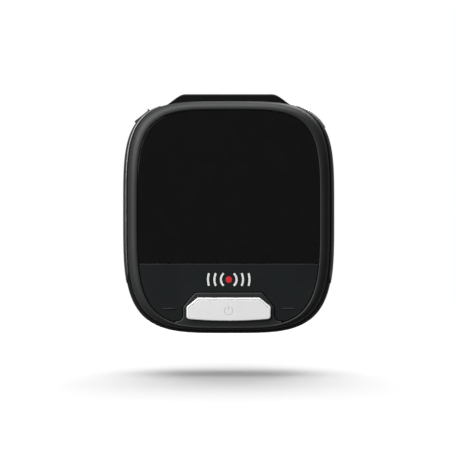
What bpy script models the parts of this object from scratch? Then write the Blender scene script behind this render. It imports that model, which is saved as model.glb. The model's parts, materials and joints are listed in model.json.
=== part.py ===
"""Windscreen radar detector as an assembly of separate solids.

Frame: the origin is the centre of the bracket seat on top of the hump. +Z is up, -Y points to the driver
(display side), +Y to the road (antenna side) and +X to the driver's right. Units are metres. Every part
hangs from an empty at the waist, the level where the body is widest, so the sizes below start from there.
"""

import math

import bmesh
import bpy
from mathutils import Matrix, Vector

MM = 0.001
COLLECTION = "radar_detector"
CUTTER_COLLECTION = "cutters"

# ---- Body outline, seen from the driver's side ----
RING_POINTS = 72
HALF_WIDTH = 30.0 * MM
TOP = 31.6 * MM
BOTTOM = 34.3 * MM
TOP_POWER = 4.1
BOTTOM_POWER = 3.75
SEAT_HEIGHT = 33.5 * MM

# Depth stations of the rear housing: depth, then how far the side, the top and the bottom draw in there.
HOUSING_STATIONS = [
    tuple(value * MM for value in station)
    for station in (
        (-10.2, 1.30, 0.15, 1.10),
        (-8.4, 0.60, 0.08, 0.50),
        (-6.4, 0.20, 0.03, 0.15),
        (-3.0, 0.00, 0.00, 0.00),
        (3.0, 0.20, 0.10, 0.20),
        (8.5, 0.95, 0.50, 0.95),
        (12.5, 2.20, 1.20, 2.20),
        (15.0, 3.80, 2.10, 3.80),
        (16.0, 5.50, 3.30, 5.50),
    )
]
WALL = 1.6 * MM
REAR_FACE_Y = 16.0 * MM

# ---- Front bezel: a ring round the lens, a floor behind the lens and a skirt inside the housing ----
LENS_OPENING = (25.6 * MM, 28.8 * MM, 31.9 * MM)
BEZEL_EDGE = (28.4 * MM, 31.35 * MM, 33.0 * MM)
SKIRT_OUTER = (26.85 * MM, 29.6 * MM, 31.35 * MM)
SKIRT_WALL = 1.1 * MM
CREST_Y = -14.0 * MM
CREST_INSET = 0.35 * MM
LIP_Y = -13.75 * MM
BEZEL_EDGE_Y = -10.5 * MM
SKIRT_END_Y = -8.6 * MM
FLOOR_FRONT_Y = -11.9 * MM
FLOOR_BACK_Y = -11.0 * MM
FACE_RINGS = (0.3, 0.6, 0.82, 0.95, 1.0)

# ---- Panels behind the opening ----
PANEL_FRONT_Y = -13.8 * MM
PANEL_BACK_Y = -12.6 * MM
PANEL_GAP = 0.15 * MM
SEAM_Z = -14.2 * MM
SEAM_GAP = 0.12 * MM

# ---- Island round the power button, and the button itself ----
ISLAND_FRONT_Y = -13.9 * MM
ISLAND_TOP_Z = -22.4 * MM
ISLAND_TOP_HALF = 9.4 * MM
ISLAND_HALF = 12.75 * MM
ISLAND_SHOULDER_Z = -26.4 * MM
ISLAND_ROOT_Z = -28.7 * MM
ISLAND_ROOT_RADIUS = 1.7 * MM
ISLAND_OVERLAP = 0.15 * MM
ISLAND_CLEARANCE = 0.2 * MM
BUTTON_TOP_Z = -23.8 * MM
BUTTON_TOP_HALF = 8.65 * MM
BUTTON_HALF = 11.75 * MM
BUTTON_SHOULDER_Z = -26.3 * MM
BUTTON_CORNER_Z = -29.75 * MM
BUTTON_BELLY = 0.55 * MM
BUTTON_FRONT_Y = -14.6 * MM
BUTTON_CHAMFER = 0.45 * MM
BUTTON_CLEARANCE = 0.22 * MM
BUTTON_FLANGE = 0.85 * MM
BUTTON_FLANGE_LOW_Z = -29.2 * MM
BUTTON_FLANGE_Y = -10.85 * MM
BUTTON_BACK_Y = -10.25 * MM
BUTTON_CENTRE_Z = -27.0 * MM

# ---- Rocker: the lower panel tilts left and right on a pin behind its middle ----
PIVOT_Y = -11.0 * MM
PIVOT_PIN_RADIUS = 0.6 * MM
PIVOT_PIN_Z = (-21.9 * MM, -15.0 * MM)
ROCKER_EYE_Z = (-20.2 * MM, -16.8 * MM)
ROCKER_EYE_HALF = 1.5 * MM
ROCKER_EYE_BACK_Y = -9.9 * MM
ROCKER_BORE_RADIUS = 0.68 * MM
LUG_BORE_RADIUS = 0.64 * MM
LUG_Z = ((-22.1 * MM, -20.7 * MM), (-16.3 * MM, -14.8 * MM))
LUG_HALF = 1.7 * MM
EYE_SLOT_GAP = 0.5 * MM
ROCKER_POST = (16.2 * MM, -25.2 * MM)
ROCKER_POST_RADIUS = 1.1 * MM
ROCKER_POST_END_Y = -10.27 * MM
ROCKER_POST_HOLE = 2.0 * MM
TACTILE_BAR = (16.75 * MM, -26.9 * MM)
TACTILE_BAR_HALF = (1.6 * MM, 0.17 * MM)
TACTILE_BAR_RISE = 0.13 * MM

# ---- Display ----
DISPLAY_HALF = 22.0 * MM
DISPLAY_Z = (-13.0 * MM, 23.4 * MM)
DISPLAY_GLASS_Y = (-10.9 * MM, -9.5 * MM)
BACKLIGHT_Y = (-9.45 * MM, -7.75 * MM)
WINDOW_HALF = 20.8 * MM
WINDOW_Z = (-9.2 * MM, 22.2 * MM)
TAPE_Y = (-12.53 * MM, -11.97 * MM)
TAPE_EDGE = 0.6 * MM
TAPE_MARGIN = 0.5 * MM
FLEX_X = (-16.5 * MM, -9.5 * MM)
FLEX_THICKNESS = 0.25 * MM
FLEX_SOCKET_Z = (-19.0 * MM, -16.2 * MM)
FLEX_SOCKET_MARGIN = 0.6 * MM
FLEX_SOCKET_HEIGHT = 1.0 * MM

# ---- Main board ----
BOARD_SIZE = (26.3 * MM, 28.0 * MM, 30.2 * MM)
BOARD_Y = (-7.2 * MM, -6.0 * MM)
COMPONENT_GAP = 0.05 * MM

# ---- Switches: body, then the plunger that stands out of it ----
SWITCH_HEIGHT = 2.15 * MM
SWITCH_HALF = 1.75 * MM
SWITCH_BORE = 1.25 * MM
SWITCH_BORE_DEPTH = 1.4 * MM
PLUNGER_RADIUS = 1.1 * MM
PLUNGER_BASE = 1.35 * MM
PLUNGER_TOP = 2.95 * MM
SIDE_SWITCH_HALF_DEPTH = 1.7 * MM

# ---- Corner keys: short flat one on the left, longer curved one on the right ----
KEY_Y = -4.0 * MM
KEY_HALF_DEPTH = 1.6 * MM
KEY_GAP = 0.2 * MM
LEFT_KEY_ANGLE = math.radians(131.8)
LEFT_KEY_SLOPE = math.radians(128.5)
LEFT_KEY_HALF = 2.7 * MM
LEFT_KEY_PROUD = 0.35 * MM
LEFT_KEY_RIDGE = (2.3 * MM, 2.65 * MM, 0.35 * MM)
RIGHT_KEY_ANGLES = (math.radians(41.5), math.radians(53.9))
RIGHT_KEY_SLOPE = math.radians(50.6)
RIGHT_KEY_PROUD = 0.45 * MM
RIGHT_KEY_HALF = 3.9 * MM
KEY_FLANGE_MARGIN = 0.65 * MM
LEFT_KEY_FLANGE = (-3.5 * MM, -2.85 * MM)
RIGHT_KEY_FLANGE = (-4.2 * MM, -3.5 * MM)
RIGHT_KEY_INNER = -3.1 * MM
KEY_FLANGE_DEPTH = 0.3 * MM
KEY_TO_PLUNGER = 0.06 * MM

# ---- Trim strips inlaid at the shoulder ----
TRIM_ANGLES = (math.radians(57.5), math.radians(-34.6))
TRIM_STEPS = 22
TRIM_Y = (-9.7 * MM, -6.5 * MM)
TRIM_PROUD = 0.2 * MM
TRIM_DEPTH = 0.7 * MM
TRIM_GAP = 0.1 * MM
TRIM_TIP_ANGLE = math.radians(3.0)
TRIM_TIP_SHARE = 0.6

# ---- Hump with the slide rail for the windscreen bracket ----
HUMP_TOP_HALF = 12.9 * MM
HUMP_FOOT = (16.2 * MM, 31.3 * MM)
HUMP_TOE = (18.4 * MM, 30.5 * MM)
HUMP_Y = (-9.4 * MM, 10.6 * MM)
RAIL_HALF = 10.4 * MM
RAIL_GROOVE_Z = (31.7 * MM, 32.6 * MM)
RAIL_START_Y = -4.5 * MM
DETENT = (2.5 * MM, 5.0 * MM, 6.6 * MM, 32.9 * MM)

# ---- Bottom slots for the loudspeaker and for cooling ----
SLOT_PITCH = 2.83 * MM
SLOT_COUNT = 16
SLOT_HALF = 0.6 * MM
SLOT_Y = (-8.2 * MM, 4.0 * MM)
SLOT_Z = (-36.0 * MM, -29.0 * MM)

# ---- Fasteners ----
CASE_SCREWS = {
    "top_left": (-13.8 * MM, 25.5 * MM),
    "top_right": (13.8 * MM, 25.5 * MM),
    "bottom_left": (-19.5 * MM, -20.5 * MM),
    "bottom_right": (19.5 * MM, -20.5 * MM),
}
BOARD_SCREWS = {"top": (0.0, 26.0 * MM), "left": (-6.0 * MM, -19.5 * MM), "right": (6.0 * MM, -19.5 * MM)}
HORN_SCREWS = {"left": (-11.6 * MM, 11.0 * MM), "right": (11.6 * MM, 11.0 * MM)}
BOSS_RADIUS = 1.9 * MM
BOSS_END_Y = -7.35 * MM
PILOT_RADIUS = 1.12 * MM
PILOT_FLOOR_Y = -10.9 * MM
TUBE_RADIUS = 3.1 * MM
TUBE_END_Y = -5.85 * MM
SCREW_SEAT_Y = -3.0 * MM
COUNTERBORE_RADIUS = 2.2 * MM
SCREW_RADIUS = 0.95 * MM
HEAD_RADIUS = 1.8 * MM
HEAD_HEIGHT = 1.3 * MM
CASE_SCREW_LENGTH = 7.5 * MM
BOARD_SCREW_LENGTH = 4.0 * MM
HORN_SCREW_LENGTH = 5.8 * MM

# ---- Radar front end ----
HORN_Z = 11.0 * MM
HORN_FLANGE = (14.0 * MM, 9.0 * MM)
HORN_GUIDE = (6.5 * MM, 4.5 * MM)
HORN_MOUTH = (12.4 * MM, 8.0 * MM)
HORN_WALL = 1.0 * MM
HORN_FLANGE_Y = (-2.7 * MM, -1.5 * MM)
HORN_THROAT_Y = 3.0 * MM
HORN_MOUTH_Y = 13.6 * MM
HORN_FLOOR_Y = -0.3 * MM
RF_BOARD_Y = (-3.6 * MM, -2.8 * MM)
RF_SHIELD = (8.0 * MM, 6.0 * MM)
RF_SHIELD_Y = (-5.6 * MM, -3.7 * MM)
RF_SHIELD_WALL = 0.3 * MM
STANDOFF_RADIUS = 2.1 * MM
RADAR_WINDOW = (14.0 * MM, 9.5 * MM)
RADAR_WINDOW_RADIUS = 2.0 * MM
RADAR_WINDOW_Y = (15.05 * MM, 16.15 * MM)
RADAR_OPENING = (11.5 * MM, 7.0 * MM)

# ---- Laser sensor ----
LASER_Z = -6.0 * MM
LASER_LENS_RADIUS = 4.4 * MM
LASER_RIM_RADIUS = 5.4 * MM
LASER_SEAT_Y = 15.2 * MM
LASER_BOARD_HALF = 6.0 * MM
LASER_BOARD_Y = (4.0 * MM, 5.0 * MM)
LASER_HEADER_Z = -10.5 * MM

# ---- Satellite antenna, loudspeaker and socket ----
GPS_Y = 4.5 * MM
GPS_BOARD_HALF = 8.0 * MM
GPS_BOARD_Z = (23.4 * MM, 24.2 * MM)
GPS_PATCH_HALF = 7.5 * MM
GPS_PATCH_Z = (24.25 * MM, 28.25 * MM)
SPEAKER_Y = 1.8 * MM
SPEAKER_HALF = (14.0 * MM, 7.0 * MM)
SPEAKER_RADIUS = 3.0 * MM
SPEAKER_FRAME_Z = (-30.25 * MM, -28.7 * MM)
SPEAKER_GASKET_Z = (-30.75 * MM, -30.3 * MM)
SPEAKER_MAGNET_Z = (-28.65 * MM, -26.2 * MM)
SPEAKER_MAGNET_RADIUS = 5.0 * MM
SPEAKER_COIL_RADIUS = 3.6 * MM
WIRE_RADIUS = 0.4 * MM
SPEAKER_RIM = 2.0 * MM
USB_Z = -8.0 * MM
USB_X = (20.6 * MM, 27.8 * MM)
USB_Y = -4.35 * MM
USB_HALF = (4.47 * MM, 1.58 * MM)
USB_PORT_MARGIN = 0.3 * MM

# ---- Finishes: colour, roughness, metallic ----
FINISHES = {
    "satin_black_plastic": ((0.020, 0.021, 0.022), 0.42, 0.0),
    "housing_black_plastic": ((0.016, 0.016, 0.017), 0.5, 0.0),
    "gloss_black_panel": ((0.008, 0.009, 0.010), 0.06, 0.0),
    "gloss_black_rocker": ((0.014, 0.016, 0.017), 0.12, 0.0),
    "silver_button": ((0.82, 0.82, 0.83), 0.22, 0.85),
    "dark_chrome": ((0.22, 0.22, 0.22), 0.22, 1.0),
    "silver_key": ((0.75, 0.75, 0.76), 0.3, 0.7),
    "black_key": ((0.03, 0.03, 0.03), 0.35, 0.0),
    "green_board": ((0.02, 0.12, 0.05), 0.45, 0.0),
    "blue_board": ((0.02, 0.05, 0.16), 0.45, 0.0),
    "display_glass": ((0.02, 0.02, 0.025), 0.1, 0.0),
    "white_moulding": ((0.75, 0.75, 0.73), 0.5, 0.0),
    "amber_film": ((0.35, 0.16, 0.03), 0.4, 0.0),
    "ivory_connector": ((0.7, 0.66, 0.55), 0.5, 0.0),
    "chip_black": ((0.025, 0.025, 0.027), 0.55, 0.0),
    "switch_black": ((0.02, 0.02, 0.02), 0.6, 0.0),
    "plunger_grey": ((0.35, 0.35, 0.36), 0.5, 0.0),
    "die_cast": ((0.55, 0.55, 0.56), 0.45, 1.0),
    "tin_plate": ((0.66, 0.66, 0.67), 0.3, 1.0),
    "brass": ((0.62, 0.45, 0.18), 0.3, 1.0),
    "zinc_steel": ((0.6, 0.6, 0.62), 0.3, 1.0),
    "black_steel": ((0.05, 0.05, 0.052), 0.4, 0.9),
    "smoked_window": ((0.015, 0.012, 0.014), 0.12, 0.0),
    "red_lens": ((0.16, 0.012, 0.012), 0.06, 0.0),
    "ceramic": ((0.62, 0.55, 0.42), 0.55, 0.0),
    "foam_black": ((0.03, 0.03, 0.03), 0.9, 0.0),
    "cone_black": ((0.03, 0.03, 0.03), 0.7, 0.0),
    "ferrite": ((0.09, 0.09, 0.095), 0.5, 0.2),
    "red_wire": ((0.5, 0.02, 0.02), 0.4, 0.0),
    "black_wire": ((0.02, 0.02, 0.02), 0.4, 0.0),
}


# ---------------------------------------------------------------- scene helpers


def clear_scene():
    for obj in list(bpy.data.objects):
        bpy.data.objects.remove(obj, do_unlink=True)


def collection(name):
    found = bpy.data.collections.get(name)
    if found is None:
        found = bpy.data.collections.new(name)
        bpy.context.scene.collection.children.link(found)
    return found


def add_object(name, data, matrix=None):
    """Links an object that hangs from the waist empty; matrix is its place relative to the waist."""
    obj = bpy.data.objects.new(name, data)
    collection(COLLECTION).objects.link(obj)
    obj.parent = bpy.data.objects["waist"]
    obj.matrix_basis = matrix or Matrix.Identity(4)
    return obj


def mesh_from(name, bm):
    bmesh.ops.recalc_face_normals(bm, faces=bm.faces)
    mesh = bpy.data.meshes.new(name)
    bm.to_mesh(mesh)
    bm.free()
    return mesh


def evaluated_mesh(obj):
    bpy.context.view_layer.update()
    graph = bpy.context.evaluated_depsgraph_get()
    return bpy.data.meshes.new_from_object(obj.evaluated_get(graph))


def boolean(target, tool, operation):
    """Adds a live Boolean to target and hides the tool in the cutters collection."""
    modifier = target.modifiers.new(f"{operation.lower()} {tool.name}", "BOOLEAN")
    modifier.operation = operation
    modifier.solver = "EXACT"
    modifier.object = tool
    for home in list(tool.users_collection):
        home.objects.unlink(tool)
    collection(CUTTER_COLLECTION).objects.link(tool)
    tool.hide_render = True
    tool.display_type = "WIRE"


def bake(obj):
    """Turns an object's modifiers into its mesh, and removes their tools."""
    mesh = evaluated_mesh(obj)
    tools = [m.object for m in obj.modifiers if m.type == "BOOLEAN"]
    obj.modifiers.clear()
    obj.data = mesh
    for tool in tools:
        bpy.data.objects.remove(tool, do_unlink=True)
    return obj


def set_origin(obj, point):
    """Moves a baked object's origin to a point given from the waist, leaving its shape in place."""
    shift = Matrix.Translation(Vector(point))
    obj.data.transform(shift.inverted() @ obj.matrix_basis)
    obj.matrix_basis = shift
    return obj


def finish(obj, name, smooth_angle=None):
    """Gives the object its own Principled material, and smooth shading on round pieces."""
    colour, roughness, metallic = FINISHES[name]
    material = bpy.data.materials.new(f"{obj.name}_{name}")
    material.use_nodes = True
    shader = material.node_tree.nodes["Principled BSDF"]
    shader.inputs["Base Color"].default_value = (*colour, 1.0)
    shader.inputs["Roughness"].default_value = roughness
    shader.inputs["Metallic"].default_value = metallic
    obj.data.materials.clear()
    obj.data.materials.append(material)
    if smooth_angle:
        obj.data.shade_smooth()
        obj.data.set_sharp_from_angle(angle=math.radians(smooth_angle))
    return obj


# ---------------------------------------------------------------- outlines in the XZ plane


def outline_point(angle, size, y, grow=0.0):
    """Point of the rounded body outline in the direction of angle; size is (half width, top, bottom)."""
    half_width, top, bottom = size
    across, up = math.cos(angle), math.sin(angle)
    height, power = (top, TOP_POWER) if up >= 0 else (bottom, BOTTOM_POWER)
    share = abs(across / (half_width + grow)) ** power + abs(up / (height + grow)) ** power
    radius = share ** (-1 / power)
    return Vector((radius * across, y, radius * up))


def outline_ring(size, y, grow=0.0):
    return [outline_point(math.tau * i / RING_POINTS, size, y, grow) for i in range(RING_POINTS)]


def outline_bottom(x, size, grow=0.0):
    """Height of the outline's lower edge at x."""
    half_width, _, bottom = size
    return -(bottom + grow) * (1 - abs(x / (half_width + grow)) ** BOTTOM_POWER) ** (1 / BOTTOM_POWER)


def housing_size(y):
    """Half width, top and bottom of the housing at a depth, straight between the stations."""
    for (y0, *inset0), (y1, *inset1) in zip(HOUSING_STATIONS, HOUSING_STATIONS[1:]):
        if y0 <= y <= y1:
            share = (y - y0) / (y1 - y0)
            side, top, bottom = (a + (b - a) * share for a, b in zip(inset0, inset1))
            return HALF_WIDTH - side, TOP - top, BOTTOM - bottom
    raise ValueError(f"no housing at depth {y}")


def flat(ring):
    return [(point.x, point.z) for point in ring]


def clip(points, level, keep_above):
    """The part of a closed outline above or below a level."""
    sign = 1 if keep_above else -1
    kept = []
    for (x0, z0), (x1, z1) in zip(points, points[1:] + points[:1]):
        inside0, inside1 = sign * (z0 - level) >= 0, sign * (z1 - level) >= 0
        if inside0:
            kept.append((x0, z0))
        if inside0 != inside1:
            share = (level - z0) / (z1 - z0)
            kept.append((x0 + (x1 - x0) * share, level))
    return kept


def circle(x, z, radius, count=16):
    return [
        (x + radius * math.cos(math.tau * i / count), z + radius * math.sin(math.tau * i / count))
        for i in range(count)
    ]


def rectangle(half_x, low_z, high_z):
    return [(-half_x, low_z), (half_x, low_z), (half_x, high_z), (-half_x, high_z)]


def rounded(corners, steps=4):
    """Closed outline with an arc at each corner; a corner is (x, z, radius)."""
    points = []
    for i, (x, z, radius) in enumerate(corners):
        here = Vector((x, z))
        if radius == 0:
            points.append((x, z))
            continue
        before = (Vector(corners[i - 1][:2]) - here).normalized()
        after = (Vector(corners[(i + 1) % len(corners)][:2]) - here).normalized()
        half_angle = before.angle(after) / 2
        centre = here + (before + after).normalized() * (radius / math.sin(half_angle))
        start = here + before * (radius / math.tan(half_angle)) - centre
        end = here + after * (radius / math.tan(half_angle)) - centre
        sweep = start.angle_signed(end)
        for step in range(steps + 1):
            turned = start.copy()
            turned.rotate(Matrix.Rotation(-sweep * step / steps, 2))
            points.append(tuple(centre + turned))
    return points


def grown(points, distance):
    """Outline moved outwards by distance along its corner bisectors; points run counter-clockwise."""
    moved = []
    for i, point in enumerate(points):
        here = Vector(point)
        before = (here - Vector(points[i - 1])).normalized()
        after = (Vector(points[(i + 1) % len(points)]) - here).normalized()
        normal_before = Vector((before.y, -before.x))
        normal_after = Vector((after.y, -after.x))
        bisector = (normal_before + normal_after).normalized()
        moved.append(tuple(here + bisector * (distance / bisector.dot(normal_after))))
    return moved


def button_outline(grow=0.0):
    """Power button: chamfered shoulders at the top and a slightly bellied lower edge."""
    low = BUTTON_CORNER_Z
    corners = [
        (BUTTON_HALF, low, 0.9 * MM),
        (BUTTON_HALF, BUTTON_SHOULDER_Z, 0.7 * MM),
        (BUTTON_TOP_HALF, BUTTON_TOP_Z, 0.8 * MM),
        (-BUTTON_TOP_HALF, BUTTON_TOP_Z, 0.8 * MM),
        (-BUTTON_HALF, BUTTON_SHOULDER_Z, 0.7 * MM),
        (-BUTTON_HALF, low, 0.9 * MM),
    ]
    for share in (-0.66, -0.33, 0.0, 0.33, 0.66):
        corners.append((BUTTON_HALF * share, low - BUTTON_BELLY * (1 - share * share), 0.0))
    return grown(rounded(corners), grow)


def island_outline(grow=0.0):
    """Land round the power button: it flares into the bezel at its root."""
    arc = [
        (
            ISLAND_HALF + ISLAND_ROOT_RADIUS * (1 - math.cos(turn)),
            ISLAND_ROOT_Z - ISLAND_ROOT_RADIUS * math.sin(turn),
        )
        for turn in (math.radians(15 * i) for i in range(7))
    ]
    right = [(ISLAND_TOP_HALF, ISLAND_TOP_Z), (ISLAND_HALF, ISLAND_SHOULDER_Z), *arc]
    foot = arc[-1][0] + 0.8 * MM
    lower = [
        (foot * share, outline_bottom(foot * share, LENS_OPENING, ISLAND_OVERLAP))
        for share in (1.0, 0.75, 0.5, 0.25, 0.0, -0.25, -0.5, -0.75, -1.0)
    ]
    left = [(-x, z) for x, z in reversed(right)]
    clockwise = right + lower + left
    return grown(list(reversed(clockwise)), grow)


# ---------------------------------------------------------------- shapes


def loft(name, rings, cap_first=True, cap_last=True):
    """Skin through rings with the same number of points, with flat ends where asked."""
    bm = bmesh.new()
    rows = [[bm.verts.new(point) for point in ring] for ring in rings]
    for near, far in zip(rows, rows[1:]):
        for i in range(len(near)):
            j = (i + 1) % len(near)
            bm.faces.new((near[i], near[j], far[j], far[i]))
    if cap_first:
        bm.faces.new(rows[0])
    if cap_last:
        bm.faces.new(rows[-1])
    return add_object(name, mesh_from(name, bm))


def plate(name, outlines, low, high, facing="Y"):
    """Flat piece: the first outline, less the others, from low to high along Y, or along Z lying flat."""
    curve = bpy.data.curves.new(name, "CURVE")
    curve.dimensions = "2D"
    curve.fill_mode = "BOTH"
    curve.extrude = (high - low) / 2
    for outline in outlines:
        spline = curve.splines.new("POLY")
        spline.points.add(len(outline) - 1)
        spline.use_cyclic_u = True
        for point, (across, up) in zip(spline.points, outline):
            point.co = (across, up, 0, 1)
    middle = (low + high) / 2
    if facing == "Y":
        place = Matrix.Translation((0, middle, 0)) @ Matrix.Rotation(math.pi / 2, 4, "X")
    else:
        place = Matrix.Translation((0, 0, middle))
    source = add_object(name + "_outline", curve)
    bm = bmesh.new()
    bm.from_mesh(evaluated_mesh(source))
    bmesh.ops.remove_doubles(bm, verts=bm.verts, dist=0.001 * MM)
    bpy.data.objects.remove(source, do_unlink=True)
    return add_object(name, mesh_from(name, bm), place)


def add_box(bm, low, high, matrix=None):
    centre = (Vector(low) + Vector(high)) / 2
    size = Vector(high) - Vector(low)
    place = (matrix or Matrix.Identity(4)) @ Matrix.Translation(centre) @ Matrix.Diagonal((*size, 1))
    bmesh.ops.create_cube(bm, size=1, matrix=place)


def add_cylinder(bm, start, end, radius, segments=20):
    start, end = Vector(start), Vector(end)
    axis = end - start
    turn = axis.to_track_quat("Z", "Y").to_matrix().to_4x4()
    place = Matrix.Translation((start + end) / 2) @ turn
    bmesh.ops.create_cone(
        bm,
        cap_ends=True,
        segments=segments,
        radius1=radius,
        radius2=radius,
        depth=axis.length,
        matrix=place,
    )


def box(name, low, high, matrix=None):
    bm = bmesh.new()
    add_box(bm, low, high, matrix)
    return add_object(name, mesh_from(name, bm))


def boxes(name, corners):
    bm = bmesh.new()
    for low, high in corners:
        add_box(bm, low, high)
    return add_object(name, mesh_from(name, bm))


def cylinders(name, rods, segments=20):
    """Separate rods in one mesh; a rod is (start, end, radius)."""
    bm = bmesh.new()
    for start, end, radius in rods:
        add_cylinder(bm, start, end, radius, segments)
    return add_object(name, mesh_from(name, bm))


def rods_along_y(places, y_from, y_to, radius):
    return [((x, y_from, z), (x, y_to, z), radius) for x, z in places]


def turned(name, profile, place, steps=24):
    """Turned piece: the profile (radius, height), top to bottom, spun about its own Z."""
    mesh = bpy.data.meshes.new(name)
    points = [(radius, 0.0, height) for radius, height in profile]
    mesh.from_pydata(points, [(i, i + 1) for i in range(len(points) - 1)], [])
    obj = add_object(name, mesh, place)
    screw = obj.modifiers.new("spin", "SCREW")
    screw.axis = "Z"
    screw.steps = steps
    screw.render_steps = steps
    screw.use_merge_vertices = True
    screw.merge_threshold = 0.001 * MM
    return obj


def wire(name, points, radius):
    """Round wire through the points."""
    curve = bpy.data.curves.new(name, "CURVE")
    curve.dimensions = "3D"
    curve.bevel_depth = radius
    curve.bevel_resolution = 2
    curve.use_fill_caps = True
    spline = curve.splines.new("POLY")
    spline.points.add(len(points) - 1)
    for point, place in zip(spline.points, points):
        point.co = (*place, 1)
    return add_object(name, curve)


def along_road(x, y, z):
    """Place whose own +Z points to the road."""
    return Matrix.Translation((x, y, z)) @ Matrix.Rotation(-math.pi / 2, 4, "X")


def towards_driver(x, y, z):
    """Place whose own +Z points to the driver."""
    return Matrix.Translation((x, y, z)) @ Matrix.Rotation(math.pi / 2, 4, "X")


def shoulder_frame(angle, slope, y):
    """Place on the housing's shoulder: own +Z points outwards at the slope angle, own +Y to the road."""
    origin = outline_point(angle, housing_size(y), y)
    outward = Vector((math.cos(slope), 0, math.sin(slope)))
    depth = Vector((0, 1, 0))
    tangent = depth.cross(outward)
    turn = Matrix((tangent, depth, outward)).transposed().to_4x4()
    return Matrix.Translation(origin) @ turn


def shoulder_band(name, angles, depths, outer, inner):
    """Curved bar that follows the housing: one section per angle, from the outer to the inner offset."""
    sections = []
    for angle, (front, back) in zip(angles, depths):
        stations = [front, (front + back) / 2, back]
        outside = [outline_point(angle, housing_size(y), y, outer) for y in stations]
        inside = [outline_point(angle, housing_size(y), y, inner) for y in reversed(stations)]
        sections.append(outside + inside)
    return loft(name, sections)


# ---------------------------------------------------------------- shells and outside parts


def make_front_bezel():
    skirt_inner = tuple(value - SKIRT_WALL for value in SKIRT_OUTER)
    rings = [
        outline_ring(LENS_OPENING, FLOOR_FRONT_Y),
        outline_ring(LENS_OPENING, LIP_Y),
        outline_ring(LENS_OPENING, CREST_Y, CREST_INSET),
    ]
    for share in FACE_RINGS:
        size = tuple(
            inner + CREST_INSET + (outer - inner - CREST_INSET) * share
            for inner, outer in zip(LENS_OPENING, BEZEL_EDGE)
        )
        drop = 1 - math.sqrt(1 - share**2)
        rings.append(outline_ring(size, CREST_Y + (BEZEL_EDGE_Y - CREST_Y) * drop))
    rings += [
        outline_ring(SKIRT_OUTER, BEZEL_EDGE_Y),
        outline_ring(SKIRT_OUTER, SKIRT_END_Y),
        outline_ring(skirt_inner, SKIRT_END_Y),
        outline_ring(skirt_inner, FLOOR_BACK_Y),
    ]
    bezel = loft("front_bezel", rings)
    island = plate("bezel_island", [island_outline()], ISLAND_FRONT_Y, FLOOR_FRONT_Y + 0.4 * MM)
    boolean(bezel, island, "UNION")
    boss_places = [*CASE_SCREWS.values(), *BOARD_SCREWS.values()]
    bosses = rods_along_y(boss_places, FLOOR_BACK_Y - 0.3 * MM, BOSS_END_Y, BOSS_RADIUS)
    boolean(bezel, cylinders("bezel_bosses", bosses), "UNION")
    lugs = boxes(
        "bezel_lugs",
        [
            ((-LUG_HALF, FLOOR_BACK_Y - 0.4 * MM, low), (LUG_HALF, ROCKER_EYE_BACK_Y + 0.1 * MM, high))
            for low, high in LUG_Z
        ],
    )
    boolean(bezel, lugs, "UNION")
    button_hole = plate("bezel_button_hole", [button_outline(BUTTON_CLEARANCE)], CREST_Y - MM, SKIRT_END_Y)
    boolean(bezel, button_hole, "DIFFERENCE")
    eye_x, (eye_low, eye_high) = ROCKER_EYE_HALF + EYE_SLOT_GAP, ROCKER_EYE_Z
    openings = boxes(
        "bezel_openings",
        [
            ((-WINDOW_HALF, CREST_Y, WINDOW_Z[0]), (WINDOW_HALF, FLOOR_BACK_Y + MM, WINDOW_Z[1])),
            (
                (-eye_x, CREST_Y, eye_low - EYE_SLOT_GAP + 0.1 * MM),
                (eye_x, FLOOR_BACK_Y + 2 * MM, eye_high + EYE_SLOT_GAP - 0.1 * MM),
            ),
        ],
    )
    boolean(bezel, openings, "DIFFERENCE")
    bore_low, bore_high = PIVOT_PIN_Z[0] - 0.4 * MM, PIVOT_PIN_Z[1] + 0.4 * MM
    pivot_bore = ((0, PIVOT_Y, bore_low), (0, PIVOT_Y, bore_high), LUG_BORE_RADIUS)
    post_x, post_z = ROCKER_POST
    post_holes = rods_along_y([(-post_x, post_z), (post_x, post_z)], CREST_Y, SKIRT_END_Y, ROCKER_POST_HOLE)
    pilots = rods_along_y(boss_places, PILOT_FLOOR_Y, BOSS_END_Y + MM, PILOT_RADIUS)
    boolean(bezel, cylinders("bezel_bores", [pivot_bore, *post_holes, *pilots]), "DIFFERENCE")
    return finish(bezel, "satin_black_plastic", 35)


def make_display_lens():
    outline = clip(flat(outline_ring(LENS_OPENING, 0, -PANEL_GAP)), SEAM_Z + SEAM_GAP, True)
    lens = plate("display_lens", [outline], PANEL_FRONT_Y, PANEL_BACK_Y)
    return finish(lens, "gloss_black_panel")


def make_lens_tape():
    outer = clip(flat(outline_ring(LENS_OPENING, 0, -TAPE_EDGE)), SEAM_Z + TAPE_EDGE, True)
    hole = rectangle(WINDOW_HALF + TAPE_MARGIN, WINDOW_Z[0] - TAPE_MARGIN, WINDOW_Z[1] + TAPE_MARGIN)
    return finish(plate("lens_tape", [outer, hole], *TAPE_Y), "foam_black")


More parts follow.
